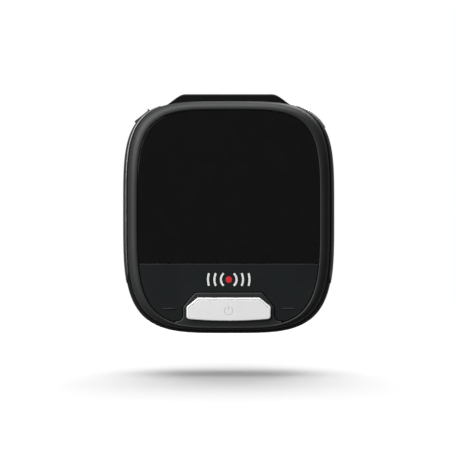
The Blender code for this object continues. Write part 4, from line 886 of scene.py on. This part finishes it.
def hump_ring(y, drop):
    """Section of the hump at a depth: a soft swell over the body's top, lowered by drop."""
    size = housing_size(y)
    reach = HUMP_FOOT + HUMP_MARGIN
    across = [reach * (1 - i / 40) for i in range(81)]
    top, base = [], []
    for x in across:
        body = outline_edge(x, size, True) - HUMP_SINK
        t = min(max((HUMP_FOOT - abs(x)) / (HUMP_FOOT - HUMP_FLAT_HALF), 0.0), 1.0)
        swell = t * t * (3 - 2 * t)
        top.append((x, body + (SEAT - drop - body) * swell))
        base.append((x, body - HUMP_ROOT))
    return at_depth(top + list(reversed(base)), y)


def housing_hump():
    front, back = HUMP_Y
    edges = quarter(HUMP_ROUNDING)
    rings = [hump_ring(front + depth, inset) for inset, depth in edges]
    rings += [hump_ring(front + (back - front) * i / 14, 0.0) for i in range(1, 14)]
    rings += [hump_ring(back - depth, inset) for inset, depth in reversed(edges)]
    return loft(rings)


def cut_slots(housing):
    """Rounded slots through the bottom wall, side by side."""
    lying = Matrix.Rotation(-math.pi / 2, 4, "X")
    middle_y, half_y = sum(SLOT_Y) / 2, (SLOT_Y[1] - SLOT_Y[0]) / 2
    for i in range(SLOT_COUNT):
        x = SLOT_PITCH * (i - (SLOT_COUNT - 1) / 2)
        outline = rounded_rectangle((x, middle_y), (SLOT_HALF, half_y), SLOT_ROUNDING)
        cut(housing, slab(outline, -SLOT_Z[1], -SLOT_Z[0], matrix=lying))


def screw_recess(x, z):
    """Bore with a flared mouth on the rear face, around a case screw."""
    profile = [
        (0.0, REAR_Y + MM),
        (RECESS_RADIUS + RECESS_FLARE + MM, REAR_Y + MM),
        (RECESS_RADIUS, REAR_Y - RECESS_FLARE),
        (RECESS_RADIUS, RECESS_FLOOR_Y),
        (0.0, RECESS_FLOOR_Y),
    ]
    return turned(profile, along_road(x, 0, z), 48)


def window_outline(grow=0.0):
    return grown(rounded_rectangle((0, HORN_Z), RADAR_WINDOW, RADAR_CORNER), grow)


def window_seat():
    """Seat for the radar window, with a flared edge."""
    floor_y = local_box("radar_window")[0].y - 2 * HAIRLINE
    straight, mouth = (window_outline(RADAR_SEAT_GAP + flare) for flare in (0.0, RADAR_SEAT_FLARE))
    stops = ((straight, floor_y), (straight, REAR_Y - RADAR_SEAT_FLARE))
    stops += ((mouth, REAR_Y), (mouth, REAR_Y + MM))
    return loft([at_depth(outline, y) for outline, y in stops])


def laser_seat():
    """Stepped bore for the laser lens, with a flared mouth."""
    rim, bore = LASER_RIM_RADIUS + LASER_SEAT_GAP, LASER_LENS_RADIUS + LASER_SEAT_GAP
    end_y = REAR_Y - 4 * MM
    profile = [
        (0.0, REAR_Y + MM),
        (rim + LASER_SEAT_FLARE + MM, REAR_Y + MM),
        (rim, REAR_Y - LASER_SEAT_FLARE),
        (rim, LASER_SEAT_Y),
        (bore, LASER_SEAT_Y),
        (bore, end_y),
        (0.0, end_y),
    ]
    return turned(profile, along_road(0, 0, centre_of("laser_lens")[2]), 72)


def usb_ring(grow, x):
    """Section of the socket across the body, grown by a margin."""
    outline = grown(rounded_rectangle(centre_of("usb_socket")[1:], USB_HALF, USB_ROUNDING), grow)
    return [(x, y, z) for y, z in outline]


def usb_port():
    """Port in the right side wall with a flared mouth."""
    start_x, end_x = USB_PORT_X
    wall_x = outline_point(USB_PORT_ANGLE, housing_size(USB_PORT_Y), 0).x
    straight, mouth = USB_PORT_MARGIN, USB_PORT_MARGIN + USB_PORT_FLARE
    stops = ((straight, start_x), (straight, wall_x - USB_PORT_FLARE))
    stops += ((mouth, wall_x + 2 * HAIRLINE), (mouth, end_x))
    return loft([usb_ring(grow, x) for grow, x in stops])


def cut_hump(housing):
    """Rail grooves and the latch detent."""
    outside, end_y = HUMP_FOOT + 3 * MM, HUMP_Y[1] + MM
    grooves = [
        ((RAIL_HALF, RAIL_START_Y, RAIL_GROOVE_Z[0]), (outside, end_y, RAIL_GROOVE_Z[1])),
        ((-outside, RAIL_START_Y, RAIL_GROOVE_Z[0]), (-RAIL_HALF, end_y, RAIL_GROOVE_Z[1])),
    ]
    cut(housing, boxes(grooves, RAIL_ROUNDING))
    low = (-DETENT_HALF, DETENT_Y[0], SEAT - DETENT_DEPTH)
    high = (DETENT_HALF, DETENT_Y[1], SEAT + MM)
    cut(housing, boxes([(low, high)], DETENT_ROUNDING))


def housing_shell():
    """Hollow shell, open at the front: the outside from back to front, then the inside."""
    outer = [outline_ring(housing_size(y), y) for y in reversed(housing_depths())]
    inner_depths = [y for y in housing_depths() if y < REAR_Y - WALL] + [REAR_Y - WALL]
    inner = [outline_ring(housing_size(y), y, -WALL) for y in inner_depths]
    return loft(outer + inner)


def add_screw_tubes(housing):
    """Tubes for the case screws, open to the back, with a hole for the shank."""
    start_y, end_y = TUBE_Y
    for x, z in screw_places("case"):
        join(housing, rod((x, start_y, z), (x, end_y, z), TUBE_RADIUS))
        cut(housing, screw_recess(x, z))
        hole_end = (x, RECESS_FLOOR_Y + 0.5 * MM, z)
        cut(housing, rod((x, start_y - MM, z), hole_end, PILOT_RADIUS, 32))


def radar_opening():
    half_x, half_z = RADAR_OPENING
    corners = ((-half_x, REAR_Y - 3 * MM, HORN_Z - half_z), (half_x, REAR_Y + MM, HORN_Z + half_z))
    return boxes([corners])


def left_key_hole():
    reach, depth = LEFT_KEY_HALF + KEY_GAP, KEY_HALF_DEPTH + KEY_GAP
    place = shoulder_frame(LEFT_KEY_ANGLE, LEFT_KEY_SLOPE, KEY_Y)
    return boxes([((-reach, -depth, -2 * WALL), (reach, depth, WALL))], matrix=place)


def make_housing():
    housing = housing_shell()
    join(housing, housing_hump())
    add_screw_tubes(housing)
    cut(housing, laser_seat())
    cut_slots(housing)
    cut_hump(housing)
    cut(housing, radar_opening(), window_seat(), usb_port())
    cut(housing, trim_groove(), mirrored(trim_groove()))
    right_key_hole = key_band(KEY_GAP, WALL, -2.4 * WALL, math.radians(0.35))
    cut(housing, left_key_hole(), right_key_hole)
    show_for(smooth(housing, 32), "housing_shell", "rear_housing")


def make_radar_window():
    low, high = local_box("radar_window")
    window = slab(window_outline(), low.y, high.y, *RADAR_ROUNDINGS)
    show_for(smooth(window, 50), "window_pane", "radar_window")


def make_laser_lens():
    """Lens bead with a rounded rim; its dome faces the road."""
    shares = [i / 16 for i in range(17)]
    profile = [(LASER_LENS_RADIUS * s, LASER_RIM_RISE + LASER_DOME_RISE * (1 - s * s)) for s in shares]
    edge = quarter(LASER_RIM_ROUNDING)
    profile += [(LASER_RIM_RADIUS - inset, LASER_RIM_RISE - depth) for inset, depth in edge]
    profile += [(LASER_RIM_RADIUS, HAIRLINE), (LASER_LENS_RADIUS, HAIRLINE)]
    profile += [(LASER_LENS_RADIUS, LASER_LENS_BACK), (0.0, LASER_LENS_BACK)]
    place = along_road(0, LASER_SEAT_Y, centre_of("laser_lens")[2])
    show_for(smooth(turned(profile, place, 96)), "lens_bead", "laser_lens")


def make_usb():
    low, high = local_box("usb_socket")
    lip = USB_LIP
    stops = ((0, low.x), (0, high.x - lip), (-lip / 3, high.x - lip / 3), (-lip, high.x))
    stops += ((-USB_WALL, high.x), (-USB_WALL, low.x + USB_FLOOR))
    shell = loft([usb_ring(grow, x) for grow, x in stops])
    show_for(smooth(shell), "usb_shell", "usb_socket")
    tongue = boxes([local_box("usb_tongue")], USB_TONGUE_ROUNDING)
    show_for(smooth(tongue), "usb_blade", "usb_tongue")


def screw_mesh(kind):
    """Pan-head screw with a cross recess: head above the origin, shank below."""
    length = SCREW_LENGTHS[kind]
    profile = [(0.0, HEAD_HEIGHT)]
    for turn in quarter_turns(8):
        radius = HEAD_RADIUS * (HEAD_CROWN + (1 - HEAD_CROWN) * math.sin(turn))
        profile.append((radius, HEAD_HEIGHT * (1 - HEAD_CROWN + HEAD_CROWN * math.cos(turn))))
    profile += [(HEAD_RADIUS, HAIRLINE), (SCREW_RADIUS, HAIRLINE), (SCREW_RADIUS, -length + SCREW_TIP)]
    profile += [(SCREW_RADIUS * SCREW_TIP_SHARE, -length), (0.0, -length)]
    screw = turned(profile, Matrix.Identity(4), 48)
    floor = HEAD_HEIGHT - CROSS_DEPTH
    for half_x, half_y in (CROSS_HALF, reversed(CROSS_HALF)):
        cut(screw, boxes([((-half_x, -half_y, floor), (half_x, half_y, HEAD_HEIGHT + MM))]))
    mesh = screw.data
    bpy.data.objects.remove(screw, do_unlink=True)
    return mesh


def make_screws():
    for kind in SCREW_LENGTHS:
        mesh = screw_mesh(kind)
        for node in screw_nodes(kind):
            x, _, z = centre_of(node)
            place = along_road(x, local_box(node)[1].y - HEAD_HEIGHT, z)
            screw = smooth(add_object(mesh.copy(), place))
            show_for(screw, node.replace("screw", "fastener"), node)


# ---- Materials ----


class Nodes:
    """Builds a shader node tree."""

    def __init__(self, tree):
        self.tree = tree

    def feed(self, socket, value):
        """Links another node's output to the socket, or sets a plain value."""
        if isinstance(value, bpy.types.NodeSocket):
            self.tree.links.new(value, socket)
        elif isinstance(value, tuple) and socket.type == "RGBA":
            socket.default_value = (*value, 1.0)
        else:
            socket.default_value = value

    def node(self, kind, inputs=None, **settings):
        made = self.tree.nodes.new(kind)
        for name, value in settings.items():
            setattr(made, name, value)
        for key, value in (inputs or {}).items():
            self.feed(made.inputs[key], value)
        return made

    def spread(self, pattern, low, high, start=0.3, end=0.7, **settings):
        """Maps the pattern's start..end onto low..high."""
        inputs = {"Value": pattern, "From Min": start, "From Max": end, "To Min": low, "To Max": high}
        return self.node("ShaderNodeMapRange", inputs, **settings).outputs["Result"]


class Paint(Nodes):
    """One material, built step by step over a Principled shader."""

    def __init__(self, name):
        self.material = bpy.data.materials.new(name)
        self.material.use_nodes = True
        super().__init__(self.material.node_tree)
        self.shader = self.tree.nodes["Principled BSDF"]
        self.place = self.node("ShaderNodeTexCoord").outputs["Object"]

    def noise(self, scale, detail=3.0, stretch=(1, 1, 1)):
        """Cloudy pattern, 0 to 1, with scale cells per metre."""
        place = self.node("ShaderNodeMapping", {"Vector": self.place, "Scale": stretch}).outputs["Vector"]
        inputs = {"Vector": place, "Scale": scale, "Detail": detail}
        return self.node("ShaderNodeTexNoise", inputs).outputs["Fac"]

    def cells(self, scale, feature="F1"):
        """Distance to cell centres, or to cell borders."""
        made = self.node("ShaderNodeTexVoronoi", {"Vector": self.place, "Scale": scale}, feature=feature)
        return made.outputs["Distance"]

    def math(self, operation, first, second=0.0):
        return self.node("ShaderNodeMath", {0: first, 1: second}, operation=operation).outputs[0]

    def mix(self, share, first, second):
        return self.node("ShaderNodeMix", {0: share, 6: first, 7: second}, data_type="RGBA").outputs[2]

    def tinted(self, pattern, colour, low, high, start=0.3, end=0.7):
        """Colour that goes from low to high times its brightness as the pattern rises."""
        share = self.spread(pattern, 0.0, 1.0, start, end)
        return self.mix(share, shaded(colour, low), shaded(colour, high))

    def axis(self, name):
        return self.node("ShaderNodeSeparateXYZ", {"Vector": self.place}).outputs[name]

    def coat(self, colour, roughness, relief, height, metallic=0.0, specular=0.5):
        """Sets the surface; relief is the pattern that stands out by height."""
        values = (colour, roughness, metallic, specular)
        for key, value in zip(("Base Color", "Roughness", "Metallic", "Specular IOR Level"), values):
            self.feed(self.shader.inputs[key], value)
        self.bump(relief, height)

    def bump(self, height, distance):
        """Adds relief over whatever relief is already there."""
        inputs = {"Height": height, "Distance": distance, "Strength": 1.0}
        normal = self.shader.inputs["Normal"]
        if normal.is_linked:
            inputs["Normal"] = normal.links[0].from_socket
        self.feed(normal, self.node("ShaderNodeBump", inputs).outputs["Normal"])


def shaded(colour, factor):
    """The colour made factor times as bright, at most white."""
    return tuple(min(channel * factor, 1.0) for channel in colour)


def moulded(paint, colour, roughness, grain=4e-6, specular=0.5):
    """Moulded plastic: spark-eroded grain, cloudy gloss and faint tone changes."""
    tone = paint.noise(90.0, 2.0)
    fine = paint.noise(5200.0, 2.0)
    gloss = paint.spread(fine, roughness - 0.05, roughness + 0.07)
    paint.coat(paint.tinted(tone, colour, 0.88, 1.12), gloss, fine, grain, specular=specular)
    paint.bump(paint.noise(700.0, 2.0), grain)


def polished(paint, colour, roughness):
    """Polished plastic with a trace of flow ripple and hazy patches in the gloss."""
    haze = paint.noise(260.0, 3.0)
    gloss = paint.spread(haze, roughness * 0.8, roughness * 1.3)
    paint.coat(paint.tinted(haze, colour, 0.92, 1.08), gloss, paint.noise(180.0, 1.0), 3e-6)


def plated(paint, colour, roughness):
    """Vacuum-plated or bright metal with a fine brushed haze along the strip."""
    haze = paint.noise(2600.0, 3.0, (1, 6, 1))
    cloud = paint.noise(160.0, 2.0)
    gloss = paint.spread(haze, roughness * 0.75, roughness * 1.25)
    paint.coat(paint.tinted(cloud, colour, 0.85, 1.1), gloss, haze, 1.2e-6, 1.0)


def satin_paint(paint, colour, roughness, metallic):
    """Silver lacquer: tiny flakes under a satin coat."""
    flakes = paint.cells(9000.0)
    cloud = paint.noise(140.0, 2.0)
    base = paint.tinted(cloud, colour, 0.97, 1.02)
    glint = paint.mix(paint.spread(flakes, 0.0, 1.0, 0.1, 0.7), shaded(colour, 0.94), base)
    gloss = paint.spread(flakes, roughness - 0.06, roughness + 0.06, 0.1, 0.7)
    paint.coat(glint, gloss, flakes, 1.5e-6, metallic)


def cast(paint, colour, roughness):
    """Die-cast metal with open pores."""
    pores = paint.cells(1300.0)
    skin = paint.noise(800.0, 4.0)
    gloss = paint.spread(skin, roughness - 0.1, roughness + 0.12)
    paint.coat(paint.tinted(pores, colour, 0.45, 1.0, 0.05, 0.25), gloss, skin, 2e-5, 1.0)


def circuit_board(paint, colour):
    """Solder mask over copper traces, with tinned vias."""
    trace = paint.spread(paint.cells(420.0, "DISTANCE_TO_EDGE"), 1.0, 0.0, 0.06, 0.09)
    via = paint.spread(paint.cells(300.0), 1.0, 0.0, 0.09, 0.12)
    mask = paint.mix(trace, colour, shaded(colour, 2.2))
    gloss = paint.spread(paint.noise(900.0), 0.3, 0.5)
    tinned = paint.mix(via, mask, (0.7, 0.66, 0.58))
    paint.coat(tinned, gloss, trace, 1.5e-5, paint.math("MULTIPLY", via, 0.9))


def ceramic_patch(paint, colour):
    """Fired ceramic block with a silver square on its middle."""
    centre_x, centre_y, _ = centre_of("gps_patch_antenna")
    across = paint.math("ABSOLUTE", paint.math("SUBTRACT", paint.axis("X"), centre_x))
    along = paint.math("ABSOLUTE", paint.math("SUBTRACT", paint.axis("Y"), centre_y))
    outside = paint.math("GREATER_THAN", paint.math("MAXIMUM", across, along), PATCH_SILVER_HALF)
    speck = paint.spread(paint.noise(3000.0), 0.0, 1.0)
    fired = paint.mix(speck, shaded(colour, 0.85), colour)
    plated_block = paint.mix(outside, (0.75, 0.74, 0.72), fired)
    gloss = paint.math("ADD", paint.math("MULTIPLY", outside, 0.3), 0.3)
    paint.coat(plated_block, gloss, speck, 6e-6, paint.math("SUBTRACT", 1.0, outside))


def foam(paint, colour):
    """Open-cell foam."""
    pores = paint.cells(3600.0)
    paint.coat(paint.tinted(pores, colour, 0.3, 1.6, 0.1, 0.6), 0.95, pores, 8e-5)


def paper_cone(paint, colour):
    """Pressed fibre."""
    fibre = paint.noise(2500.0, 5.0, (1, 0.2, 1))
    paint.coat(paint.tinted(fibre, colour, 0.6, 1.8), 0.8, fibre, 3e-5)


def ribbon_film(paint, colour):
    """Flexible film with parallel copper tracks."""
    wave = paint.math("SINE", paint.math("MULTIPLY", paint.axis("X"), math.tau / RIBBON_PITCH))
    track = paint.spread(wave, 0.0, 1.0, -0.1, 0.1)
    gloss = paint.spread(paint.noise(900.0), 0.3, 0.45)
    paint.coat(paint.mix(track, colour, shaded(colour, 1.9)), gloss, track, 1e-5)


def ferrite(paint, colour):
    """Sintered ferrite: matt grey with crystal specks."""
    grit = paint.cells(5200.0)
    gloss = paint.spread(grit, 0.35, 0.6, 0.1, 0.6)
    paint.coat(paint.tinted(grit, colour, 1.5, 0.8, 0.1, 0.6), gloss, grit, 1e-5, 0.2)


def red_lens(paint, colour):
    """Deep red filter plastic, clear enough to show depth."""
    polished(paint, colour, 0.05)
    paint.feed(paint.shader.inputs["Transmission Weight"], 0.35)
    paint.feed(paint.shader.inputs["Coat Weight"], 0.6)


def studio_floor(paint, colour, bounce):
    """Matt paper, pale to the camera and darker to other rays, so that it throws little light back."""
    fibre = paint.noise(900.0, 4.0)
    seen = paint.node("ShaderNodeLightPath").outputs["Is Camera Ray"]
    tone = paint.mix(seen, shaded(colour, bounce), paint.tinted(fibre, colour, 0.99, 1.0))
    paint.coat(tone, 0.9, fibre, 1e-5, specular=0.1)


def ink(paint, colour):
    """Screen print with a slightly ragged density."""
    density = paint.noise(4000.0, 4.0)
    paint.coat(paint.tinted(density, colour, 0.9, 1.0), 0.5, density, 2e-6)


FINISHES = {
    "bezel_plastic": (moulded, (0.017, 0.018, 0.0178), 0.5, 2e-6, 0.32),
    "housing_plastic": (moulded, (0.0032, 0.0034, 0.0036), 0.48, 3e-6, 0.14),
    "gloss_lens": (polished, (0.0066, 0.0067, 0.0072), 0.06),
    "gloss_rocker": (moulded, (0.0115, 0.0135, 0.0138), 0.3, 8e-7, 0.35),
    "silver_button_plate": (satin_paint, (0.86, 0.86, 0.865), 0.45, 0.12),
    "dark_chrome_trim": (plated, (0.15, 0.148, 0.145), 0.38),
    "silver_key_plate": (satin_paint, (0.72, 0.72, 0.73), 0.3, 0.7),
    "black_key_plastic": (moulded, (0.02, 0.02, 0.021), 0.35),
    "smoked_window": (polished, (0.012, 0.010, 0.012), 0.1),
    "red_lens": (red_lens, (0.20, 0.010, 0.012)),
    "green_board": (circuit_board, (0.012, 0.09, 0.035)),
    "blue_board": (circuit_board, (0.012, 0.035, 0.13)),
    "display_glass": (polished, (0.02, 0.02, 0.025), 0.08),
    "white_moulding": (moulded, (0.75, 0.75, 0.73), 0.5),
    "amber_film": (ribbon_film, (0.35, 0.16, 0.03)),
    "ivory_connector": (moulded, (0.70, 0.66, 0.55), 0.5),
    "chip_black": (moulded, (0.025, 0.025, 0.027), 0.55),
    "switch_black": (moulded, (0.02, 0.02, 0.02), 0.55),
    "plunger_grey": (moulded, (0.35, 0.35, 0.36), 0.5),
    "die_cast": (cast, (0.55, 0.55, 0.56), 0.42),
    "tin_plate": (plated, (0.66, 0.66, 0.67), 0.3),
    "brass": (plated, (0.62, 0.45, 0.18), 0.3),
    "zinc_steel": (plated, (0.60, 0.60, 0.62), 0.3),
    "black_steel": (plated, (0.05, 0.05, 0.052), 0.35),
    "ceramic": (ceramic_patch, (0.62, 0.55, 0.42)),
    "foam_black": (foam, (0.02, 0.02, 0.02)),
    "cone_black": (paper_cone, (0.03, 0.03, 0.03)),
    "ferrite": (ferrite, (0.09, 0.09, 0.095)),
    "red_wire": (moulded, (0.50, 0.02, 0.02), 0.4),
    "black_wire": (moulded, (0.02, 0.02, 0.02), 0.4),
    "white_ink": (ink, (0.80, 0.80, 0.80)),
    "red_ink": (ink, (0.62, 0.02, 0.03)),
    "grey_ink": (ink, (0.60, 0.60, 0.61)),
    "floor": (studio_floor, (0.88, 0.88, 0.88), 0.15),
}


@functools.cache
def finish_material(name):
    """The named finish, built once."""
    maker, *values = FINISHES[name]
    paint = Paint(f"{name}_finish")
    maker(paint, *values)
    return paint.material


def dress(obj, finish):
    obj.data.materials.clear()
    obj.data.materials.append(finish_material(finish))


def show_for(obj, name, node, finish=None):
    """Shows a piece for a CAD node, on its body, in the slot's finish or a named one."""
    obj.name = obj.data.name = name
    dress(obj, finish or SLOT_OF[node])
    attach(obj, BODY_OF[node])
    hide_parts(node)


# Edge rounding of the CAD nodes that are shown as they are.
WELD_REACH = 0.001 * MM
SHARP_ANGLE = math.radians(40)
USUAL_EDGE_WIDTH = 0.1 * MM
EDGE_WIDTHS = {
    **dict.fromkeys(("main_board", "rf_board", "gps_board", "laser_board", "lens_tape"), 0.05 * MM),
    **dict.fromkeys(("speaker_wire_red", "speaker_wire_black"), 0.02 * MM),
    "display_flex": 0.04 * MM,
    "speaker_magnet": 0.25 * MM,
    "power_inductor": 0.3 * MM,
}


def dress_cad_nodes():
    """Gives every CAD node still shown its finish, rounded edges and smooth normals."""
    for node, obj in NODES.items():
        if obj.hide_render:
            continue
        dress(obj, SLOT_OF[node])
        weld = obj.modifiers.new("weld", "WELD")
        weld.merge_threshold = WELD_REACH
        bevel = obj.modifiers.new("edges", "BEVEL")
        bevel.width = EDGE_WIDTHS.get(node, USUAL_EDGE_WIDTH)
        bevel.segments = 3
        bevel.limit_method = "ANGLE"
        bevel.angle_limit = SHARP_ANGLE
        weigh_normals(obj)


# ---- Studio ----


def make_floor():
    bm = bmesh.new()
    bmesh.ops.create_circle(bm, cap_ends=True, radius=FLOOR_RADIUS, segments=96)
    floor = linked("floor", mesh_from(bm))
    floor.location.z = packed_bounds[0][2] - FLOOR_DROP
    dress(floor, "floor")
    return floor


def softbox(name, place, size, power, receivers):
    """Rectangular lamp aimed at the body's waist, for one group of receivers."""
    light = bpy.data.lights.new(name, "AREA")
    light.shape = "RECTANGLE"
    light.size, light.size_y = size
    light.energy = power
    lamp = linked(name, light)
    lamp.location = place
    aim = Vector((0, 0, WAIST)) - Vector(place)
    lamp.rotation_euler = aim.to_track_quat("-Z", "Y").to_euler()
    lamp.light_linking.receiver_collection = receivers


def light_group(name, floor, state):
    """Receivers that are the floor alone, or everything but the floor."""
    made = bpy.data.collections.new(name)
    made.objects.link(floor)
    made.collection_objects[0].light_linking.link_state = state
    return made


def make_lights(floor):
    groups = {"floor_only": "INCLUDE", "not_floor": "EXCLUDE"}
    receivers = {name: light_group(name, floor, state) for name, state in groups.items()}
    for name, place, size, power, group in LAMPS:
        softbox(name, place, size, power, receivers[group])


def make_world():
    """White to the camera; to the object a room that is dark on the driver's side."""
    world = bpy.data.worlds.new("studio")
    world.use_nodes = True
    bpy.context.scene.world = world
    build = Nodes(world.node_tree)
    direction = build.node("ShaderNodeTexCoord").outputs["Generated"]
    road_share = build.node("ShaderNodeSeparateXYZ", {0: direction}).outputs["Y"]
    room = build.spread(road_share, *ROOM_STRENGTH, *ROOM_TURN, interpolation_type="SMOOTHSTEP")
    camera_ray = build.node("ShaderNodeLightPath").outputs["Is Camera Ray"]
    strength = build.node("ShaderNodeMix", {0: camera_ray, 2: room, 3: 1.0}).outputs[0]
    background = world.node_tree.nodes["Background"]
    build.feed(background.inputs["Strength"], strength)
    build.feed(background.inputs["Color"], (1.0, 1.0, 1.0))


def make_camera():
    data = bpy.data.cameras.new("camera")
    data.lens = CAMERA_LENS
    data.sensor_width = CAMERA_SENSOR
    camera = linked("camera", data)
    camera.location = CAMERA_PLACE
    camera.rotation_euler = (math.pi / 2, 0, 0)
    bpy.context.scene.camera = camera


def main():
    make_bezel()
    make_lens()
    make_rocker()
    make_signal_mark()
    make_button()
    make_housing()
    make_trims()
    make_corner_keys()
    make_radar_window()
    make_laser_lens()
    make_usb()
    make_screws()
    dress_cad_nodes()
    make_lights(make_floor())
    make_world()
    make_camera()
    bpy.context.scene.view_settings.view_transform = "Standard"


main()
